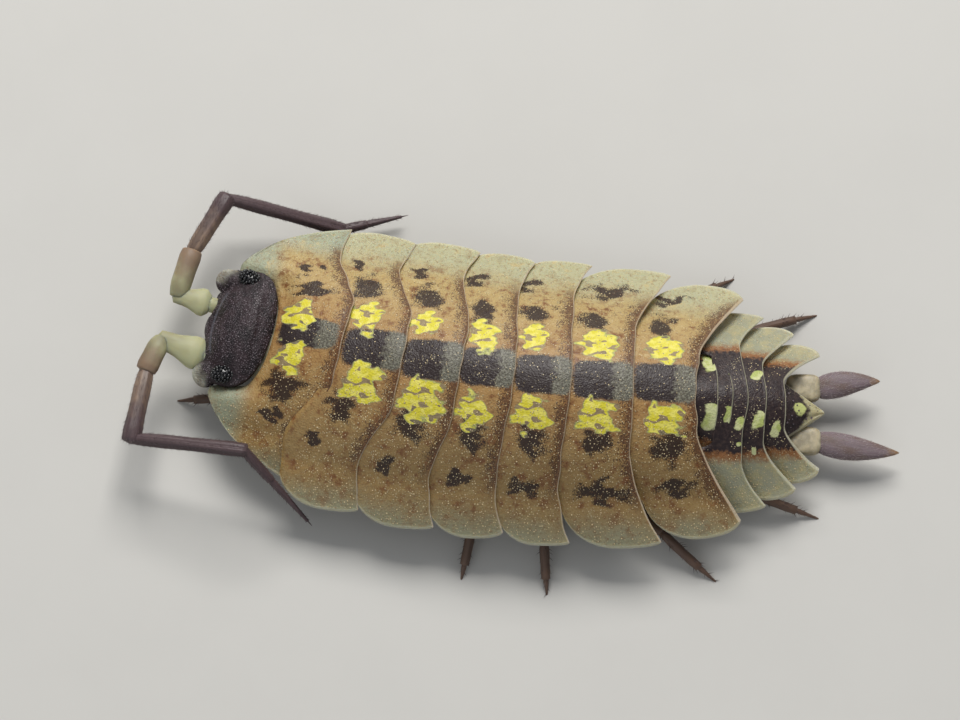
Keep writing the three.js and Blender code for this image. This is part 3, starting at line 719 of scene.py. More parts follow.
def chest_material(index):
    """Honey-brown shell that pales to greenish cream at the sides, with its markings, painted darker on its
    near side as shade and lighter on its far side as light.
    """
    plate, marks = PLATES[index], MARKS[index]
    material, graph, shader, place_mm = new_material(f"{plate.name} shell")
    plan = surface_map(graph)
    x, y, _ = graph.split(plan)
    side_gap, rear_gap, _ = graph.split(surface_map(graph, "edge"))
    mottle, _ = graph.noise(place_mm, 1.6, 5.0, 0.6)
    cloud, _ = graph.noise(place_mm, 4.2, 5.0, 0.65)
    fine, _ = graph.noise(place_mm, 16.0, 4.0, 0.65)
    grains, _ = graph.noise(place_mm, 40.0, 2.0, 0.7)

    outward = graph.plus(graph.math("ABSOLUTE", x), graph.times(mottle, 0.7))
    # near is 0 on the far side and 1 on the near side. The colours that it mixes are painted light on the far
    # side and painted shade on the near side.
    near = graph.ramp(x, -0.6, 1.4)
    base = graph.blend(graph.ramp(outward, 0.6, 1.9), AMBER, graph.blend(near, HONEY_PAINTED_LIGHT, HONEY_PAINTED_SHADE))
    # The pale skirt begins farther out on the near side, as painted shade.
    pale = graph.ramp(graph.minus(outward, graph.times(near, 0.4)), plate.half * 0.74, plate.half)
    skirt = graph.blend(near, SKIRT_PAINTED_LIGHT, SKIRT_PAINTED_SHADE)
    if index == 0:
        pale = graph.math("MAXIMUM", pale, graph.ramp(y, -1.45, -1.95))
        skirt = graph.blend(near, GREYGREEN_PAINTED_LIGHT, GREYGREEN_PAINTED_SHADE)
    base = graph.blend(pale, base, skirt)

    inner = graph.minus(1.0, graph.times(pale, 0.75))
    base = graph.blend(graph.times(graph.ramp(cloud, 0.5, 0.68), inner), base, RUST)
    # The straw clouds are the shell's own mottling, laid on more strongly on the far side as painted light.
    far = graph.minus(0.8, graph.times(near, 0.5))
    base = graph.over(base, graph.ramp(cloud, 0.44, 0.3), far, STRAW)
    base = graph.over(base, graph.ramp(fine, 0.52, 0.68), 0.5, RUST)
    from_rear = graph.shaken(graph.shaken(rear_gap, grains, 0.8), cloud, 0.8)
    band = graph.times(graph.ramp(from_rear, 0.22, 0.12), graph.ramp(outward, 2.75, 2.2))
    base = graph.over(base, band, 0.85, graph.blend(graph.ramp(grains, 0.4, 0.6), BAND, BAND_LIGHT))

    base = marks_over(graph, base, plan, marks)
    base, height = add_specks(graph, base, place_mm, 0.04, 0.5)
    base = add_side_rim(graph, base, side_gap)
    base = graph.over(base, graph.ramp(rear_gap, 0.026, 0.012), 0.85, SEAM)
    glow = graph.times(graph.ramp(outward, 1.2, 2.8), 0.5)
    roughness = graph.plus(0.36, graph.times(fine, 0.2))
    set_shader(graph, shader, base, roughness, glow, 0.3, 0.05, [(height, 0.01), (mottle, 0.06)])
    return material


def tail_material(index):
    """Near-black tail plate with yellow-green spots, pale specks and orange-brown to pale sides."""
    plate, marks = PLATES[index], MARKS[index]
    material, graph, shader, place_mm = new_material(f"{plate.name} shell")
    plan = surface_map(graph)
    side_gap, rear_gap, _ = graph.split(surface_map(graph, "edge"))
    fine, _ = graph.noise(place_mm, 13.0, 4.0, 0.6)
    cloud, _ = graph.noise(place_mm, 4.5, 4.0, 0.6)
    outward = graph.plus(graph.math("ABSOLUTE", graph.split(plan)["X"]), graph.times(fine, 0.3))
    start = 0.57 + 0.3 * plate.half
    side = graph.ramp(outward, start - 0.05, start + 0.06)
    base = graph.blend(graph.ramp(fine, 0.4, 0.7), SOOT, SOOT_BROWN)
    base = graph.blend(side, base, ORANGE)
    clear = graph.blend(graph.ramp(cloud, 0.4, 0.65), CLEAR_GREEN, CLEAR_STRAW)
    base = graph.blend(graph.ramp(outward, start + 0.04, start + 0.24), base, clear)
    spot = spots(graph, plan, marks.yellow, **TAIL_MARK)
    base = graph.blend(spot, base, graph.blend(graph.ramp(cloud, 0.4, 0.6), TAIL_SPOT, TAIL_SPOT_PALE))
    base, height = add_specks(graph, base, place_mm, 0.035, 0.6)
    base = add_side_rim(graph, base, side_gap)
    base = graph.over(base, graph.ramp(rear_gap, 0.028, 0.01), 0.8, RIM)
    set_shader(graph, shader, base, 0.46, graph.times(side, 0.5), 0.25, 0.03, [(height, 0.01)])
    return material


def telson_material():
    """Near-black in the middle, pale and see-through towards its sides and point."""
    material, graph, shader, place_mm = new_material("telson shell")
    plan = surface_map(graph)
    gap, _, _ = graph.split(surface_map(graph, "edge"))
    fine, _ = graph.noise(place_mm, 11.0, 4.0, 0.6)
    reach = graph.plus(graph.split(plan)["Y"], graph.times(fine, 0.25))
    base = graph.blend(graph.ramp(fine, 0.4, 0.7), POINT_DARK, POINT_LIGHT)
    pale = graph.ramp(graph.minus(reach, gap), 0.34, 0.48)
    base = graph.blend(pale, base, CLEAR_STRAW)
    spot = spots(graph, plan, [(-0.02, 0.3, 0.13, 0.12)], **POINT_MARK)
    base = graph.blend(spot, base, POINT_SPOT)
    base, height = add_specks(graph, base, place_mm, 0.04, 0.6)
    base = add_side_rim(graph, base, gap, 0.6)
    set_shader(graph, shader, base, 0.46, graph.times(pale, 0.4), 0.25, 0.03, [(height, 0.01)])
    return material


def head_material():
    """Purple-black, granulated and a little glossy, with paler streaks and frosted lobe tips."""
    material, graph, shader, place_mm = new_material("head shell")
    tint, _ = graph.noise(place_mm, 4.0, 4.0, 0.6)
    x, y, z = graph.split(place_mm)
    streaks, _ = graph.noise(graph.joined(graph.times(x, 5.0), graph.times(y, 16.0), z), 1.0, 4.0, 0.65)
    base = graph.blend(graph.ramp(tint, 0.35, 0.65), HEAD_DARK, HEAD_LIGHT)
    base = graph.over(base, graph.ramp(streaks, 0.54, 0.68), 0.35, HEAD_STREAK)
    # Pale specks, partly painted glints on the granules.
    base, height = add_specks(graph, base, place_mm, 0.035, 0.6, HEAD_SPECK_AND_GLINT)
    frosted, brow, _ = graph.split(surface_map(graph, "edge"))
    base = graph.over(base, brow, 0.45, BROW)
    base = graph.blend(frosted, base, graph.blend(graph.ramp(tint, 0.4, 0.6), FROST_DARK, FROST_LIGHT))
    set_shader(graph, shader, base, 0.5, graph.times(frosted, 0.6), 0.2, 0.03, [(height, 0.018)])
    return material


def limb_material(name, near, far, lengthwise, glow=0.1, roughness=0.42, lines=9.0):
    """Horny limb with fine lengthwise lines, going from one colour to another along the map's second axis."""
    material, graph, shader, place_mm = new_material(name)
    limb_map = surface_map(graph)
    striae = graph.group("Striae", Map=limb_map, Lines=lines, Length=2.0)
    patchy, _ = graph.noise(place_mm, 5.0, 3.0)
    along = graph.shaken(graph.split(limb_map)["Y"], patchy, 0.3)
    base = graph.blend(graph.ramp(along, *lengthwise), near, far)
    base = graph.over(base, striae["Streak"], 0.5, tuple(v * 0.45 for v in far))
    set_shader(graph, shader, base, roughness, glow, 0.15, 0.0, [(striae["Height"], 0.015)])
    return material


def plain_material(name, base, roughness=0.4, glow=0.0, rate=8.0, spread=0.35, coat=0.0):
    """A material with soft uneven colour and a light bump."""
    material, graph, shader, place_mm = new_material(name)
    uneven, _ = graph.noise(place_mm, rate, 4.0, 0.6)
    low = tuple(v * (1 - spread) for v in base)
    high = tuple(min(1.0, v * (1 + spread)) for v in base)
    mixed = graph.blend(graph.ramp(uneven, 0.35, 0.65), low, high)
    rough = graph.plus(roughness - 0.05, graph.times(uneven, 0.1))
    set_shader(graph, shader, mixed, rough, glow, 0.2, coat, [(uneven, 0.01)])
    return material


# Scatter: small shapes over a surface


def make_scatter_group():
    """Geometry nodes: copies of a small shape over a surface, each leaning a set share along the lie."""
    graph, given, give = new_group(
        "Scatter",
        [
            ("Geometry", "Geometry", None),
            ("Shape", "Object", None),
            ("Material", "Material", None),
            ("Density", "Float", 40.0),
            ("Spacing", "Float", 0.08),
            ("Size", "Float", 0.03),
            ("Variation", "Float", 0.5),
            ("Lean", "Float", 0.0),
            ("Seed", "Int", 0),
        ],
        [("Geometry", "Geometry")],
        kind="Geometry",
    )
    surface = given["Geometry"]

    def stored(name, kind):
        return graph.fed("GeometryNodeInputNamedAttribute", {"Name": name}, data_type=kind)["Attribute"]

    where = {
        "Mesh": surface,
        "Distance Min": given["Spacing"],
        "Density Max": given["Density"],
        "Density Factor": stored("grain", "FLOAT"),
        "Seed": given["Seed"],
    }
    spread = graph.fed("GeometryNodeDistributePointsOnFaces", where, distribute_method="POISSON")
    leaning = graph.scaled(stored("lie", "FLOAT_VECTOR"), given["Lean"])
    direction = graph.vector("ADD", spread["Normal"], leaning)
    kept = graph.node("GeometryNodeCaptureAttribute")
    kept.capture_items.new("VECTOR", "Direction")
    graph.feed(kept.inputs["Geometry"], spread["Points"])
    graph.feed(kept.inputs["Direction"], direction)
    align = graph.fed("FunctionNodeAlignRotationToVector", {"Vector": kept.outputs["Direction"]}, axis="Z")
    # The random value's third and fourth input and its second output are those of a plain number.
    least, most = graph.minus(1.0, given["Variation"]), graph.plus(1.0, given["Variation"])
    bounds = {2: least, 3: most, "Seed": given["Seed"]}
    draw = graph.fed("FunctionNodeRandomValue", bounds, data_type="FLOAT")[1]
    each = {
        "Points": kept.outputs["Geometry"],
        "Instance": graph.fed("GeometryNodeObjectInfo", {"Object": given["Shape"]})["Geometry"],
        "Rotation": align["Rotation"],
        "Scale": graph.times(draw, given["Size"]),
    }
    copies = graph.fed("GeometryNodeInstanceOnPoints", each)["Instances"]
    real = graph.fed("GeometryNodeRealizeInstances", {"Geometry": copies})["Geometry"]
    dressed = {"Geometry": real, "Material": given["Material"]}
    finish = graph.fed("GeometryNodeSetMaterial", dressed)["Geometry"]
    both = graph.node("GeometryNodeJoinGeometry")
    graph.feed(both.inputs["Geometry"], finish)
    graph.feed(both.inputs["Geometry"], surface)
    give(Geometry=both.outputs["Geometry"])


def scatter(made, shape, material, density, spacing, size, variation=0.5, lean=0.0, seed=0):
    """Run the Scatter group on an object and keep the result as its mesh."""
    tree = bpy.data.node_groups["Scatter"]
    modifier = made.modifiers.new("Scatter", "NODES")
    modifier.node_group = tree
    chosen = {
        "Shape": shape,
        "Material": material,
        "Density": density,
        "Spacing": spacing,
        "Size": size,
        "Variation": variation,
        "Lean": lean,
        "Seed": SEED + seed,
    }
    for item in tree.interface.items_tree:
        if item.in_out == "INPUT" and item.name in chosen:
            modifier[item.identifier] = chosen[item.name]
    return evaluated(made)


def set_attribute(made, name, kind, values):
    """Store a value for each vertex: a FLOAT, or a FLOAT_VECTOR."""
    layer = made.data.attributes.new(name, kind, "POINT")
    key = "value" if kind == "FLOAT" else "vector"
    layer.data.foreach_set(key, np.asarray(values, float).ravel())


def hidden_shape(name, points, faces):
    """A small shape that the scatter copies and that isn't a piece itself."""
    mesh = bpy.data.meshes.new(name)
    mesh.from_pydata(points, [], faces)
    return bpy.data.objects.new(name, mesh)


def grain_shape():
    """A low six-sided stud, one unit from its middle to a corner of its foot."""
    sides = 6
    rings = [(1.0, -0.25), (0.75, 0.55)]
    points = [
        (r * math.cos(2 * math.pi * s / sides), r * math.sin(2 * math.pi * s / sides), z)
        for r, z in rings
        for s in range(sides)
    ]
    return hidden_shape("grain shape", points, capped_faces(len(rings), sides))


def bristle_shape():
    """A thin three-sided spike, one unit tall."""
    points = [(0.09 * math.cos(a), 0.09 * math.sin(a), -0.1) for a in (0, 2 * math.pi / 3, 4 * math.pi / 3)]
    points.append((0.0, 0.0, 1.0))
    return hidden_shape("bristle shape", points, [(0, 1, 3), (1, 2, 3), (2, 0, 3), (2, 1, 0)])


# Shell plates


def back_height(y):
    """Height of the back along the middle, y from the fourth plate's rear edge."""
    reach = np.where(y < 0, BACK["ahead"], BACK["behind"])
    left = np.clip(1 - (y / reach) ** 2, 0, None)
    return BACK["base"] + (BACK["top"] - BACK["base"]) * left ** BACK["power"]


def arch(r):
    """The curve across a plate, from 1 at the middle to 0 at the rim."""
    return 0.55 * (1 - r * r) + 0.225 * (1 + np.cos(math.pi * np.clip(r, 0, 1)))


def rear_edge(plate, r):
    """A plate's rear edge, y at a share r of the way out: it dips forward, then turns back to the corner."""
    back = np.clip((r - plate.turn) / (1 - plate.turn), 0, 1) ** 1.5
    begin = DIP_BEGINS if plate.dip > 0.25 else 0
    return -plate.dip * smooth((r - begin) / (plate.turn - begin)) + (plate.corner + plate.dip) * back


def side_share(plate, w):
    """How wide a plate is, as a share of its full width, at a share w of the way to its rear edge."""
    if plate is PLATES[0]:
        return mix(plate.round, 1, w**FLARE)
    bow = np.sqrt(1 - (1 - np.clip(w / 0.55, 0, 1)) ** 2)
    rounding = 1 - np.sqrt(1 - np.clip((w - 0.5) / 0.5, 0, 1) ** 2)
    return mix(plate.round, 1, bow) - plate.taper * rounding


# The first plate's front: how far forward the tips of its sides lie, the half width of the head between
# them, how far before and how deep round the head its collar runs, and how far the collar bends down.
WING = {"tip": -2.46, "head": 1.235, "collar": 0.69, "deep": 0.7, "drop": 0.2}
FIRST_ROW = 0.02  # where a plate's first row of points lies, as a share of the way to its rear edge


def collared_front(plate, r):
    """The first plate's front edge, which follows the back of the head and runs forward beside it."""
    x = r * plate.half * side_share(plate, FIRST_ROW) / WING["head"]
    behind = np.clip(1 - np.clip(x, 0, 1) ** SQUARENESS, 0, 1) ** (1 / SQUARENESS)
    collar = -plate.long - WING["collar"] + WING["deep"] * behind
    tip = WING["tip"] + 0.3 * np.clip((x - 1.06) / 0.26, 0, 1) ** 2
    return mix(collar, tip, smooth((x - 0.87) / 0.08))


def front_edge(index, r):
    """A plate's front edge, tucked in under the rear edge of the plate ahead."""
    plate = PLATES[index]
    if index == 0:
        return collared_front(plate, r)
    ahead = PLATES[index - 1]
    front = -plate.long - TUCK + rear_edge(ahead, np.clip(r * plate.half / ahead.half, 0, 1))
    if ahead.half < plate.half - 0.5:
        front = front - 0.6 * smooth((r * plate.half - ahead.half + 0.25) / 0.3)
    return front


def plate_top(index, u, w):
    """Points of a plate's upper face, and their gaps to its side and rear edges."""
    plate = PLATES[index]
    r = np.abs(u)
    reach = plate.half * side_share(plate, w)
    x = u * reach
    front, rear = front_edge(index, r), rear_edge(plate, r)
    y = mix(front, rear, w)
    share = np.clip(np.abs(x) / plate.half, 0, 1)
    middle = back_height(FRAMES[index].y - BASE[1] + y)
    tile = mix(-TILE_SINK, TILE_RISE, smooth(w))
    z = plate.rim + (middle - plate.rim) * arch(share) + tile * (1 - 0.4 * share)
    if index == 0:
        z = z - WING["drop"] * (1 - smooth((y - front) / 0.5)) * smooth((1.5 - np.abs(x)) / 0.5)
    return x, y, z, reach - np.abs(x), rear - y


def eased(count, low, high, press):
    """Stations from low to high, closer together near high as press grows."""
    t = np.linspace(0, 1, count)
    return low + (high - low) * (1 - (1 - t) ** press)


def make_slab(name, own, upper, gaps, full, rolled, least, material, chance):
    """A closed thin slab with rolled edges, from its upper face and each point's gaps to the edges.

    full is its thickness, which is reached where the lesser gap is as wide as rolled, and least keeps the
    edge itself from getting sharp. chance is how likely granules are at each point of the upper face.
    """
    x, y, z = upper
    thick = full * np.sqrt(1 - (1 - np.clip(np.minimum(*gaps) / rolled, least, 1)) ** 2)
    z = z - 0.5 * (full - thick)
    sheets = [np.stack([x, y, height], axis=-1).reshape(-1, 3) for height in (z, z - thick)]
    plan = np.stack([x, y], axis=-1).reshape(-1, 2)
    edge = np.stack(gaps, axis=-1).reshape(-1, 2)
    maps = {"plan": np.concatenate([plan, plan]), "edge": np.concatenate([edge, edge])}
    made = make_mesh(name, to_part(np.concatenate(sheets), own), slab_faces(*x.shape), [material], maps)
    set_attribute(made, "grain", "FLOAT", np.concatenate([chance.ravel(), np.zeros(x.size)]))
    return made


def build_plate(index, material, grain, grain_material):
    """One shell plate: a thin closed slab with a rolled rim, a soft crease and fine granules."""
    plate = PLATES[index]
    chest = index < CHEST
    half_columns = eased(64 if chest else 44, 0, 1, 1.7)
    u_line = np.concatenate([-half_columns[:0:-1], half_columns])
    w_line = eased(38 if chest else 26, FIRST_ROW, 1, 1.8)
    u, w = np.meshgrid(u_line, w_line)
    x, y, z, side_gap, rear_gap = plate_top(index, u, w)
    gap = np.minimum(side_gap, rear_gap)
    share = np.abs(x) / plate.half
    crease = -0.035 * bell(share, 0.72, 0.07) if chest else 0
    hump = 0.03 * bell(share, 0.5, 0.13) if chest else 0
    uneven = 0.012 * ripple(x, y, index, scale=3.2)
    z = z + 0.012 * bell(gap, 0.03, 0.018) + (crease + hump + uneven) * smooth(gap / 0.2)
    wave = 0.014 * ripple(x * 2, x * 1.5, index + 40, scale=3.0) * bell(rear_gap, 0, 0.25)
    y = y + wave
    uncovered = smooth((y - front_edge(index, np.abs(u)) - 0.3) / 0.1)
    chance = uncovered * smooth((gap - 0.03) / 0.04) * mix(0.4, 1.0, smooth((x + 1.5) / 3.0))
    chance = chance * mix(0.45, 1.0, smooth((np.abs(x) - 0.35) / 0.3))
    full = mix(0.07, 0.045, smooth(share))
    own, name = FRAMES[index], f"{plate.name}_plate"
    made = make_slab(name, own, (x, y, z), (side_gap, rear_gap), full, 0.025, 0.02, material, chance)
    size = 0.0112 if chest else 0.0095
    scatter(made, grain, grain_material, density=210.0, spacing=0.034, size=size, seed=index)
    return made


# Limbs

SIDES = ("left", "right")
RIDGES = 6  # lengthwise ridges round a limb
UP = (0.0, 0.0, 1.0)


class Tubes:
    """Closed tubes gathered into one mesh, with a map round and along each and the way that they run."""

    def __init__(self):
        self.points, self.faces, self.maps, self.lie, self.grain = [], [], [], [], []
        self.count = 0

    def add(self, centres, radii, sides=20, flat=1.0, share=(0.0, 1.0), bristles=1.0, ridges=0.0):
        """A tube along centres. share is where its ends lie on the map's second axis."""
        centres = np.asarray(centres, float)
        radii = np.asarray(radii, float)
        way = np.gradient(centres, axis=0)
        way /= np.linalg.norm(way, axis=1, keepdims=True)
        side = np.cross(UP, way)
        side /= np.linalg.norm(side, axis=1, keepdims=True)
        rise = np.cross(way, side)
        angle = np.linspace(0, 2 * math.pi, sides, endpoint=False)
        swell = 1 + ridges * np.cos(RIDGES * angle)
        ring = (
            side[:, None] * (np.cos(angle) * swell)[None, :, None]
            + rise[:, None] * (np.sin(angle) * swell * flat)[None, :, None]
        )
        body = centres[:, None] + ring * radii[:, None, None]
        rows = len(centres)
        tips = np.stack([centres[0] - way[0] * radii[0] * 0.3, centres[-1] + way[-1] * radii[-1] * 0.4])
        along = np.linspace(*share, rows)
        around = np.abs(angle / math.pi - 1)
        self.points += [body.reshape(-1, 3), tips]
        self.faces += fanned_faces(rows, sides, self.count)
        self.maps += [
            np.stack([np.tile(around, rows), np.repeat(along, sides)], axis=-1),
            np.array([[0.5, share[0]], [0.5, share[1]]]),
        ]
        self.lie += [np.repeat(way, sides, axis=0), way[[0, -1]]]
        self.grain.append(np.full(rows * sides + 2, bristles))
        self.count += rows * sides + 2

    def make(self, name, material):
        maps = {"plan": np.concatenate(self.maps)}
        made = make_mesh(name, np.concatenate(self.points), self.faces, [material], maps)
        set_attribute(made, "lie", "FLOAT_VECTOR", np.concatenate(self.lie))
        set_attribute(made, "grain", "FLOAT", np.concatenate(self.grain))
        return made


def article_profile(rows, waist=0.72):
    """Radius along an article as a share: a narrow start, a fuller middle and a narrower end."""
    t = np.linspace(0, 1, rows)
    rise = mix(waist, 1.0, smooth(t / 0.45))
    fall = mix(1.0, 0.9, smooth((t - 0.8) / 0.12))
    return rise * fall * (1 + 0.05 * np.sin(t * math.pi * 2.5))


def line(start, end, rows, bow=(0, 0, 0)):
    """Points from start to end, bowed in the middle."""
    t = np.linspace(0, 1, rows)[:, None]
    start, end, bow = (np.asarray(v, float) for v in (start, end, bow))
    return start + (end - start) * t + bow * 4 * t * (1 - t)


# Antenna joints from the head to the tip, from below the fourth plate's rear edge, and the articles between.
ANTENNAE = {
    "left": [
        (-0.02, -6.02, 0.95), (-0.26, -7.0, 1.1), (0.36, -7.2, 1.12),
        (1.84, -7.3, 1.2), (1.92, -5.06, 1.6), (2.86, -3.72, 0.4),
    ],
    "right": [
        (-1.1, -5.92, 0.93), (-1.2, -6.82, 1.06), (-2.08, -6.66, 1.1),
        (-3.3, -6.13, 1.12), (-3.2, -3.83, 0.3), (-3.62, -2.7, 0.27),
    ],
}
Article = namedtuple("Article", "name radii flat")
ARTICLES = [
    Article("article_2", (0.23, 0.34, 0.33, 0.28, 0.235, 0.21, 0.2, 0.18), 0.5),
    Article("article_3", (0.15, 0.19, 0.21, 0.21, 0.21, 0.215, 0.22, 0.2), 0.75),
    Article("article_4", (0.12, 0.155, 0.165, 0.165, 0.165, 0.17, 0.185, 0.17), 0.8),
    Article("article_5", (0.1, 0.125, 0.135, 0.13, 0.13, 0.135, 0.145, 0.13), 0.85),
    Article("flagellum", (0.09, 0.1, 0.095, 0.085), 1.0),
]
PALE = 2  # the articles that are pale, and the rest are dark
# How far along its way the second article begins, and how thick it is as a share.
ROOTS = {"left": (0.12, 1.0), "right": (0.26, 0.84)}


def add_whip_end(tubes, start, end, radii, share):
    """The flagellum: two joints and a fine point."""
    span = np.linalg.norm(end - start)
    way = (end - start) / span
    rows = len(radii)
    parting = start + way * span * 0.42
    thin = np.linspace(0.08, 0.03, rows) * (1 - 0.25 * np.exp(-np.linspace(0, 1, rows) / 0.06))
    tubes.add(line(start - way * 0.02, parting, rows), radii, share=share, ridges=0.04)
    tubes.add(line(parting - way * 0.02, end, rows), thin, share=share, ridges=0.04)
    tubes.add(line(end, end + way * 0.14, 5), np.linspace(0.016, 0.004, 5), 8, share=(1, 1), bristles=0)


def build_antenna(side, materials, bristle, bristle_material):
    """Pale first articles and the long dark ones, which end in a fine two-jointed tip."""
    joints = [np.array(p) + (BASE[0], BASE[1], 0) for p in ANTENNAE[side]]
    pale, dark = Tubes(), Tubes()
    inset, girth = ROOTS[side]
    inner = line(joints[0] + (0, 0.12, -0.04), mix(joints[0], joints[1], 0.3), 8)
    pale.add(inner, 0.19 * girth * article_profile(8), 24, 0.8, (0.4, 0.2), bristles=0)
    rows = 26
    for k, article in enumerate(ARTICLES):
        start, end = joints[k], joints[k + 1]
        way = (end - start) / np.linalg.norm(end - start)
        radii = np.interp(np.linspace(0, 1, rows), np.linspace(0, 1, len(article.radii)), article.radii)
        path = line(start + way * (-0.02 if k else inset), end + way * 0.05, rows, bow=(0, 0, 0.03))
        if k < PALE:
            share = (k / PALE, (k + 1) / PALE)
            pale.add(path, radii * (1.0 if k else girth), 28, article.flat, share, bristles=0.2)
            continue
        share = ((k - PALE) / (len(ARTICLES) - PALE), (k - PALE + 1) / (len(ARTICLES) - PALE))
        if article is ARTICLES[-1]:
            add_whip_end(dark, start, end, radii, share)
        else:
            dark.add(path, radii, 28, article.flat, share, ridges=0.06)
    nodes = [f"antenna_{side}_{article.name}" for article in ARTICLES]
    first = pale.make(f"antenna_{side}_base", materials[0])
    place(first, nodes[:PALE])
    rest = dark.make(f"antenna_{side}_whip", materials[1])
    down = {"density": 420, "spacing": 0.03, "size": 0.055, "variation": 0.4, "lean": 1.4}
    scatter(rest, bristle, bristle_material, seed=60, **down)
    place(rest, nodes[PALE:])


# Where each foot stands in the frame of its plate: out from the middle and back from the rear edge.
FEET = {
    "left": [
        (1.34, -3.05), (2.2, -1.9), (2.65, -1.2), (3.54, -0.61), (3.66, -0.16), (3.2, 1.78), (1.91, 2.46),
    ],
    "right": [
        (1.6, -2.1), (2.35, -1.8), (2.7, -1.2), (2.75, -0.35), (2.8, 0.35), (2.98, 1.89), (2.24, 2.39),
    ],
}
LEG = {"hip_out": 1.22, "hip_z": 0.98, "knee_out": 0.66, "knee_z": 0.5, "lean": 0.1, "drop": 0.3}
# The five articles from the knee out and the claw: the share of the way to the foot where each ends, its
# height there, its radius and its end's radius as a share.
LegArticle = namedtuple("LegArticle", "end z radius narrow")
LEG_ARTICLES = [
    LegArticle(0.26, 0.52, 0.15, 0.97),
    LegArticle(0.44, 0.5, 0.14, 0.97),
    LegArticle(0.63, 0.41, 0.125, 0.97),
    LegArticle(0.9, 0.15, 0.095, 0.97),
    LegArticle(0.985, 0.03, 0.06, 0.45),
    LegArticle(1.01, 0.0, 0.03, 0.45),
]


def build_leg(index, side, material, bristle, bristle_material):
    """A walking leg: an inner article in under the belly, a knee, and five more out to a claw."""
    sign = 1 if side == "left" else -1
    out, back = FEET[side][index]
    own = FRAMES[index]
    middle = -PLATES[index].long * 0.5
    lean = -LEG["lean"] if index < 3 else LEG["lean"]
    hip = np.array([sign * LEG["hip_out"], middle - lean, LEG["hip_z"]])
    knee = np.array([sign * LEG["knee_out"], middle + lean, LEG["knee_z"]])
    drop = LEG["drop"]
    root = line(hip, hip + (-sign * 0.06, 0.0, -drop), 8)
    thigh = line(hip + (0, 0, -drop), knee, 14)
    tubes = Tubes()
    tubes.add(to_part(root, own), 0.2 * article_profile(8), 14, bristles=0)
    tubes.add(to_part(thigh, own), 0.16 * article_profile(14), 16, share=(0, 0.2), bristles=0.3)

    def at(share, z):
        return [mix(knee[0], sign * out, share**0.85), mix(knee[1], back, share**1.4), z]

    start, height, rows = 0.0, LEG["knee_z"], 12
    for k, article in enumerate(LEG_ARTICLES):
        stations = zip(np.linspace(start, article.end, rows), np.linspace(height, article.z, rows))
        path = to_part([at(share, z) for share, z in stations], own)
        radii = article.radius * article_profile(rows, waist=0.8) * np.linspace(1.05, article.narrow, rows)
        share = (0.2 + 0.8 * start, 0.2 + 0.8 * article.end)
        tubes.add(path, radii, 16, share=share, bristles=0.6 if k > 0 else 0.2, ridges=0.03)
        start, height = article.end, article.z
    made = tubes.make(f"walking_leg_{side}_{index + 1}", material)
    down = {"density": 160, "spacing": 0.045, "size": 0.085, "lean": 0.8}
    scatter(made, bristle, bristle_material, seed=70 + index, **down)
    return made


# Head

HEAD = {"half": 1.22, "long": 1.31, "rear": 1.44, "front": 1.0, "dome": 0.36, "chin": 0.72}
EYE = {"x": 1.0, "y": -0.72, "z": 1.28, "size": (0.17, 0.24, 0.15), "turn": 0.35}
LENSES = 48
LENS = 0.034  # radius of a lens
GOLDEN_ANGLE = 2.39996
SIGNS = (-1, 1)


def ellipsoid(centre, size, turn=0.0, tip=0.0, around=40, rows=24):
    """Points and faces of a closed ellipsoid, turned about Z and then tipped up at its front."""
    v = np.linspace(0, math.pi, rows + 1)[1:-1]
    h = np.linspace(0, 2 * math.pi, around, endpoint=False)
    vv, hh = np.meshgrid(v, h, indexing="ij")
    ball = np.stack([np.sin(vv) * np.cos(hh), np.sin(vv) * np.sin(hh), -np.cos(vv)], axis=-1).reshape(-1, 3)
    ball = np.concatenate([ball, [[0, 0, -1], [0, 0, 1]]]) * size
    turned = Matrix.Rotation(turn, 3, "Z") @ Matrix.Rotation(tip, 3, "X")
    return ball @ np.array(turned).T + centre, fanned_faces(rows - 1, around)


def superellipse(angle, scale):
    """A ring of the head's outline, seen from above."""
    power = 2 / SQUARENESS
    x = power_curve(np.cos(angle), power) * HEAD["half"] * scale
    y = -HEAD["long"] / 2 + power_curve(np.sin(angle), power) * HEAD["long"] / 2 * scale
    return x, y


def head_tilt(y):
    """Height of the head's widest ring, which rises towards the rear."""
    return mix(HEAD["front"], HEAD["rear"], np.clip(1 + y / HEAD["long"], 0, 1))


# The rings of the head. The lower ones have a size and a share of the way up to the widest.
LOWER_RINGS = [(0.3, 0.0), (0.62, 0.05), (0.84, 0.22), (0.94, 0.5), (0.985, 0.8)]
UPPER_RINGS = (1.0, 0.985, 0.95, 0.9, 0.82, 0.72, 0.6, 0.46, 0.32, 0.18, 0.06)


def cranium():
    """The head's capsule as stacked oval rings, closed below and above."""
    around = 96
    angle = np.linspace(0, 2 * math.pi, around, endpoint=False)
    rings = []
    for scale, share in LOWER_RINGS:
        x, y = superellipse(angle, scale)
        rings.append(np.stack([x, y, mix(HEAD["chin"], head_tilt(y), share)], axis=-1))
    for scale in UPPER_RINGS:
        x, y = superellipse(angle, scale)
        rise = HEAD["dome"] * (1 - scale**2.2)
        brow = 0.05 * bell(y, -0.98, 0.16) * smooth((1 - np.abs(x) / 0.95) / 0.4)
        groove = -0.03 * bell(y, -0.26, 0.08)
        rings.append(np.stack([x, y, head_tilt(y) + rise + (brow + groove) * (1 - scale**8)], axis=-1))
    return np.concatenate(rings), capped_faces(len(rings), around)


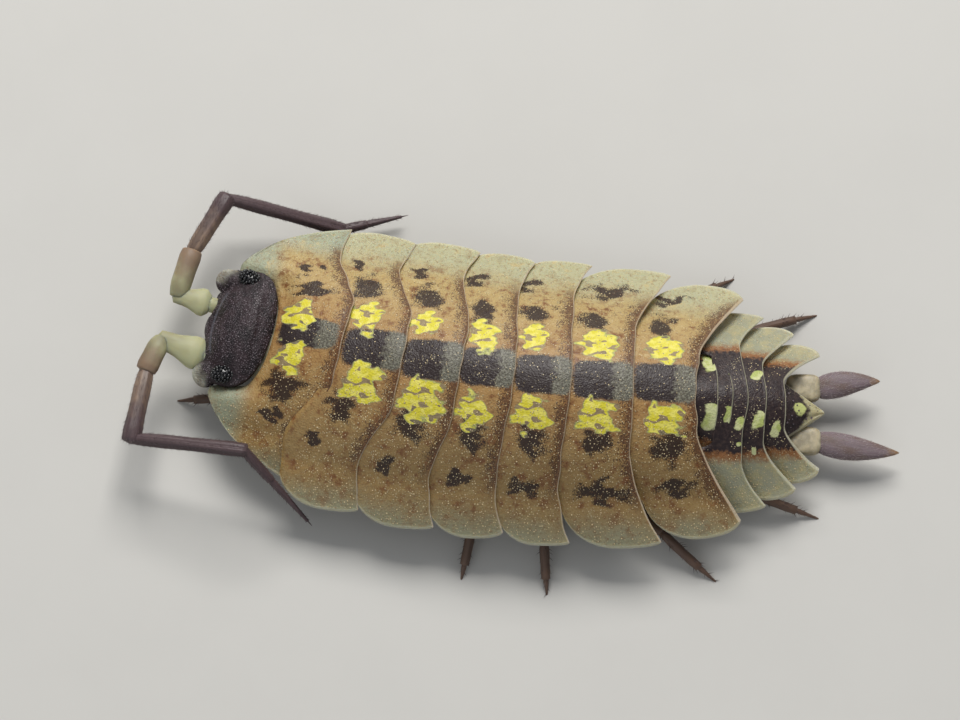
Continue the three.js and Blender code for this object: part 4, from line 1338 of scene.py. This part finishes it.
def fused(name, parts, voxel, own, material):
    """Closed shapes run together into one skin."""
    points, faces = gathered(parts)
    made = make_mesh(name, to_part(points, own), faces, [])
    remesh = made.modifiers.new("Skin", "REMESH")
    remesh.mode = "VOXEL"
    remesh.voxel_size = voxel
    relax = made.modifiers.new("Relax", "SMOOTH")
    relax.factor = 0.5
    relax.iterations = 3
    evaluated(made)
    made.data.materials.clear()
    made.data.materials.append(material)
    shade_smooth(made.data)
    return made


def vertex_array(made, key="co"):
    """The places of an object's vertices, or their normals."""
    values = np.empty(len(made.data.vertices) * 3)
    made.data.vertices.foreach_get(key, values)
    return values.reshape(-1, 3)


def nearest(local, x, y):
    """Distance from the nearer of two places, one on each side of the head."""
    return np.min([np.hypot(local[:, 0] - sign * x, local[:, 1] - y) for sign in SIGNS], axis=0)


def build_head(material, grain, grain_material):
    """Bean-shaped head shield with a broad middle lobe, two round side lobes and a granulated top."""
    parts = [cranium()]
    parts.append(ellipsoid((1.02, -1.1, 1.0), (0.28, 0.25, 0.11), turn=0.5, tip=-0.1))
    parts.append(ellipsoid((-0.93, -1.16, 1.0), (0.26, 0.26, 0.11), turn=-0.5, tip=-0.1))
    for sign in SIGNS:
        parts.append(ellipsoid((sign * 0.93, -0.92, 1.06), (0.26, 0.38, 0.17), turn=sign * 0.2))
        parts.append(ellipsoid((sign * 0.6, -1.12, 0.84), (0.2, 0.2, 0.16)))
    parts.append(ellipsoid((0.02, -1.14, 1.02), (0.44, 0.19, 0.1), tip=-0.2))
    parts.append(ellipsoid((0.0, -1.1, 0.86), (0.4, 0.28, 0.22)))
    made = fused("head_shield", parts, 0.024, HEAD_FRAME, material)
    local = into_frame(vertex_array(made), HEAD_FRAME)
    out = np.abs(local[:, 0])
    frosted = smooth((nearest(local, 0.9, -1.02) - 0.1) / 0.2)
    frosted = frosted * smooth((out - 0.78) / 0.14) * smooth((-0.97 - local[:, 1]) / 0.1)
    front = -1.2 + 0.28 * local[:, 0] ** 2
    brow = bell(local[:, 1], front, 0.022) * smooth((0.72 - out) / 0.2)
    add_map(made.data, "edge", np.stack([frosted, brow], axis=1))
    up = vertex_array(made, "normal")[:, 2]
    beside_eye = smooth((nearest(local, EYE["x"], EYE["y"]) - 0.24) / 0.08)
    set_attribute(made, "grain", "FLOAT", smooth((up - 0.2) / 0.3) * beside_eye * (1 - frosted))
    scatter(made, grain, grain_material, density=620, spacing=0.03, size=0.0125, variation=0.4, seed=90)
    return place(made, ["head"])


def build_eye(side, material):
    """An eye: a low patch of round lenses on a spiral."""
    sign = 1 if side == "left" else -1
    size = np.array(EYE["size"])
    centre = np.array([sign * EYE["x"], EYE["y"], EYE["z"]])
    parts = [ellipsoid(centre, size * 0.86, turn=sign * EYE["turn"])]
    turned = np.array(Matrix.Rotation(sign * EYE["turn"], 3, "Z"))
    for k in range(LENSES):
        height = (k + 0.5) / LENSES * 0.98
        around = k * GOLDEN_ANGLE
        flat = math.sqrt(1 - height * height)
        way = np.array([flat * math.cos(around), flat * math.sin(around), height])
        parts.append(ellipsoid(centre + turned @ (way * size * 0.96), (LENS, LENS, LENS), around=12, rows=8))
    points, faces = gathered(parts)
    made = make_mesh(f"compound_eye_{side}", to_part(points, HEAD_FRAME), faces, [material])
    return place(made, [f"eye_{side}"])


def build_mouth(material):
    """Upper lip, jaws and the two flat foot-jaws that close the mouth from below."""
    parts = [ellipsoid((0.0, -1.12, 0.62), (0.26, 0.12, 0.12))]
    for sign in SIGNS:
        parts.append(ellipsoid((sign * 0.3, -1.0, 0.58), (0.12, 0.2, 0.14), turn=sign * 0.5))
        parts.append(ellipsoid((sign * 0.16, -0.66, 0.5), (0.15, 0.34, 0.07)))
        parts.append(ellipsoid((sign * 0.14, -1.0, 0.5), (0.07, 0.12, 0.06)))
        parts.append(ellipsoid((sign * 0.2, -0.45, 0.62), (0.22, 0.3, 0.14)))
    made = fused("mouth", parts, 0.025, HEAD_FRAME, material)
    return place(made, ["mouthparts"])


# Belly, gill covers and tail

BELLY_AHEAD = -0.35  # where the belly begins, before the rear of the head
SKIN = 0.22  # how far the belly's top lies below the back


def build_belly(material):
    """The soft underside in one skin, with a raised arch for each pair of legs."""
    steps, around = 150, 48
    order = [HEAD_FRAME] + [FRAMES[i] for i in range(len(PLATES))]
    knots = np.array([[f.x, f.y, f.heading] for f in order])
    travel = np.concatenate([[0], np.cumsum(np.hypot(*np.diff(knots[:, :2], axis=0).T))])
    chest_end, waist, end = travel[CHEST], travel[CHEST + 1], travel[-1]
    s = np.linspace(BELLY_AHEAD, end - 0.12, steps)
    x0, y0, heading = (np.interp(s, travel, knots[:, k]) for k in range(3))
    y0 = y0 + np.minimum(s, 0)
    stations = [BELLY_AHEAD, 0.2, 1.2, chest_end, waist, end - 0.1]
    half = np.interp(s, stations, [0.7, 1.15, 1.5, 1.45, 0.85, 0.4])
    low = np.interp(s, [BELLY_AHEAD, 0.3, chest_end, waist, end], [0.95, 0.86, 0.84, 0.74, 0.74])
    phase = np.interp(s, travel[: CHEST + 2], np.arange(CHEST + 2))
    low = low - 0.05 * np.abs(np.cos(math.pi * phase)) ** 0.6 * smooth((chest_end - s) / 0.4)
    angle = np.linspace(0, 2 * math.pi, around, endpoint=False)
    across = power_curve(np.cos(angle), 0.7)
    x = half[:, None] * across[None]
    height = BACK["base"] + (back_height(y0 - BASE[1]) - BACK["base"]) * 0.86
    upper = (0.75 + (height[:, None] - 0.75) * arch(np.abs(x) / 2.8)) - SKIN
    lower = low[:, None] + 0.06 * np.abs(across[None]) ** 4
    share = 0.5 + 0.5 * power_curve(np.sin(angle), 0.5)
    z = mix(lower, np.maximum(upper, lower + 0.05), share[None])
    turn = np.radians(heading)[:, None]
    points = np.stack([x0[:, None] + x * np.cos(turn), y0[:, None] - x * np.sin(turn), z], -1).reshape(-1, 3)
    made = make_mesh("belly", points, capped_faces(steps, around), [material])
    return place(made)


def build_gills(side, material):
    """Five overlapping leaf-like gill covers on one side of the tail's underside."""
    sign = 1 if side == "left" else -1
    parts = []
    for k in range(5):
        centre = (sign * (0.33 - 0.02 * k), -1.35 + 0.33 * k, 0.62 + 0.012 * k)
        parts.append(ellipsoid(centre, (0.29 - 0.02 * k, 0.26, 0.035), turn=-sign * 0.35, tip=0.22, rows=16))
    points, faces = gathered(parts)
    made = make_mesh(f"gill_plates_{side}", to_part(points, TAIL_FRAME), faces, [material])
    return place(made, [f"gill_covers_{side}"])


TELSON = {"half": 0.9, "long": 0.8, "front": -0.34, "top": 1.3, "tip": 0.74, "rim": 0.84, "thick": 0.07}


def build_telson(material, grain, grain_material):
    """The end plate: a broad triangle drawn out to a blunt point, hollowed a little on each side."""
    u, t = np.meshgrid(np.linspace(-1, 1, 61), eased(44, 0, 1, 1.5))
    half = mix(TELSON["half"], 0.03, t**0.8) + 0.03 * np.sin(math.pi * t)
    x = u * half
    y = mix(TELSON["front"], TELSON["long"], t)
    crest = mix(TELSON["top"], TELSON["tip"], t**0.85)
    rim = mix(TELSON["rim"], TELSON["tip"] - 0.03, t)
    gap = np.minimum(half - np.abs(x), TELSON["long"] - y)
    z = mix(crest, rim, np.abs(u) ** 2.2) + 0.015 * bell(gap, 0.03, 0.02)
    z = z - 0.03 * bell(np.abs(u), 0.55, 0.2) * t
    chance = smooth((gap - 0.03) / 0.05)
    upper, thick = (x, y, z), TELSON["thick"]
    made = make_slab("telson_plate", TAIL_FRAME, upper, (gap, gap), thick, 0.03, 0.03, material, chance)
    scatter(made, grain, grain_material, density=60, spacing=0.06, size=0.018, variation=0.4, seed=30)
    return place(made, ["telson"])


STEM = {"x": 0.54, "from": 0.06, "to": 0.74, "z": 0.56, "half": 0.28, "thick": 0.13, "square": 0.52}
LEAF_TIPS = {"left": (0.72, 2.27, 0.42), "right": (-0.68, 1.9, 0.62)}


def build_uropod(side, materials, bristle, bristle_material):
    """A square pale stem, its long downy outer leaf and the slim inner one."""
    sign = 1 if side == "left" else -1
    ball, faces = ellipsoid((0, 0, 0), (1, 1, 1), around=36)
    size = (STEM["half"], (STEM["to"] - STEM["from"]) / 2, STEM["thick"])
    middle = (sign * STEM["x"], (STEM["from"] + STEM["to"]) / 2, STEM["z"])
    points = power_curve(ball, STEM["square"]) * size + middle
    made = make_mesh(f"uropod_base_{side}", to_part(points, TAIL_FRAME), faces, [materials[0]])
    place(made, [f"uropod_stem_{side}"])

    start = (sign * STEM["x"], STEM["to"] - 0.05, STEM["z"] - 0.03)
    rows = 40
    t = np.linspace(0, 1, rows)
    outer = line(start, LEAF_TIPS[side], rows, bow=(sign * 0.04, 0, 0.02))
    leaf = 0.27 * np.sin(math.pi * np.clip(mix(0.22, 1.0, t**0.9), 0, 1)) ** 0.8 * (1 - 0.25 * t) + 0.012
    inner = line((sign * 0.3, 0.0, 0.54), (sign * 0.2, 0.46, 0.5), rows // 2)
    slim = 0.1 * np.sin(math.pi * mix(0.25, 1.0, t[::2])) ** 0.7 + 0.01
    tubes = Tubes()
    tubes.add(to_part(outer, TAIL_FRAME), leaf, 32, 0.5, ridges=0.02)
    tubes.add(to_part(inner, TAIL_FRAME), slim, 16, 0.6, share=(0.2, 1))
    made = tubes.make(f"uropod_branch_{side}", materials[1])
    down = {"density": 900, "spacing": 0.022, "size": 0.045, "variation": 0.4, "lean": 1.8}
    scatter(made, bristle, bristle_material, seed=33, **down)
    place(made, [f"uropod_leaf_{side}"])


# Stage


def add_floor():
    """A plain pale floor."""
    size = 400.0
    points = [(-size, -size, 0), (size, -size, 0), (size, size, 0), (-size, size, 0)]
    material = plain_material("floor", (0.62, 0.61, 0.58), 0.7, rate=0.3, spread=0.01)
    floor = make_mesh("floor", points, [(0, 1, 2, 3)], [material])
    floor.data.transform(Matrix.Scale(MM, 4))


def add_light(name, place_mm, size_mm, watts, tint=(1, 1, 1)):
    """A square soft light that faces the animal."""
    data = bpy.data.lights.new(name, "AREA")
    data.energy = watts
    data.size = size_mm * MM
    data.color = tint
    light = bpy.data.objects.new(name, data)
    light.location = Vector(place_mm) * MM
    light.rotation_mode = "QUATERNION"
    light.rotation_quaternion = (-light.location).to_track_quat("-Z", "Y")
    bpy.context.scene.collection.objects.link(light)


def add_lights():
    add_light("key", (-95, -10, 105), 70, 0.2, (1.0, 0.98, 0.95))
    add_light("fill", (110, -40, 90), 120, 0.03, (0.92, 0.96, 1.0))
    world = bpy.data.worlds.new("studio")
    world.use_nodes = True
    background = world.node_tree.nodes["Background"]
    background.inputs["Color"].default_value = (0.93, 0.96, 1.0, 1.0)
    background.inputs["Strength"].default_value = 0.26
    bpy.context.scene.world = world
    bpy.context.scene.view_settings.view_transform = "Standard"


def add_camera():
    """A long lens from the photograph's side, over the animal's left."""
    turn, tilt = math.radians(CAMERA["azimuth"]), math.radians(CAMERA["elevation"])
    back = Vector((math.sin(turn) * math.cos(tilt), -math.cos(turn) * math.cos(tilt), math.sin(tilt)))
    x, y, z = CAMERA["target"]
    target = Vector((BASE[0] + x, BASE[1] + y, z)) * MM
    data = bpy.data.cameras.new("camera")
    data.lens = CAMERA["lens"]
    data.sensor_width = 36.0
    data.clip_start = 0.001
    data.clip_end = 10.0
    camera = bpy.data.objects.new("camera", data)
    camera.location = target + back * CAMERA["away"] * MM
    camera.rotation_mode = "QUATERNION"
    camera.rotation_quaternion = (-back).to_track_quat("-Z", "Y")
    bpy.context.scene.collection.objects.link(camera)
    bpy.context.scene.camera = camera


# The animal


def build_plates(grain):
    pale_grain = plain_material("pale grain", (0.66, 0.53, 0.31), 0.25, 0.1, rate=20)
    for index, plate in enumerate(PLATES):
        chest = index < CHEST
        material = chest_material(index) if chest else tail_material(index)
        made = build_plate(index, material, grain, pale_grain)
        place(made, [plate.name])


def build_animal():
    grain, bristle = grain_shape(), bristle_shape()
    dark_grain = plain_material("dark grain", (0.13, 0.105, 0.118), 0.3, rate=20, spread=0.7)
    hair = plain_material("bristles", (0.46, 0.4, 0.38), 0.4, 0.2, rate=20)
    dark_hair = plain_material("dark bristles", (0.1, 0.07, 0.07), 0.4, rate=20)
    pale_limb = limb_material("pale limb", (0.44, 0.44, 0.26), (0.26, 0.18, 0.12), (0.5, 0.95), 0.7, 0.5, 3.0)
    dark_limb = limb_material("dark limb", (0.26, 0.18, 0.13), (0.1, 0.065, 0.07), (0.05, 0.3), 0.15)
    leg = limb_material("leg", (0.36, 0.28, 0.17), (0.14, 0.085, 0.06), (0.1, 0.5), 0.25)
    leaf = limb_material("tail leaf", (0.19, 0.14, 0.155), (0.28, 0.17, 0.09), (0.82, 1.0), 0.15, 0.55)
    skirt = plain_material("skirt", (0.4, 0.35, 0.24), 0.42, 0.5, rate=6, spread=0.25)
    gill = plain_material("gill cover", (0.55, 0.53, 0.42), 0.35, 0.4, spread=0.15)
    flesh = plain_material("belly", (0.42, 0.38, 0.26), 0.4, 0.4, rate=4)
    build_plates(grain)
    build_head(head_material(), grain, dark_grain)
    eye = plain_material("eye", (0.008, 0.008, 0.01), 0.12, coat=0.6)
    build_mouth(flesh)
    build_belly(flesh)
    build_telson(telson_material(), grain, dark_grain)
    for side in SIDES:
        build_eye(side, eye)
        build_antenna(side, (pale_limb, dark_limb), bristle, dark_hair)
        build_gills(side, gill)
        build_uropod(side, (skirt, leaf), bristle, hair)
        for index in range(CHEST):
            made = build_leg(index, side, leg, bristle, dark_hair)
            place(made, [f"leg_{side}_{index + 1}"])


make_place_group()
make_blot_group()
make_grain_group()
make_striae_group()
make_scatter_group()
build_animal()
add_floor()
add_lights()
add_camera()
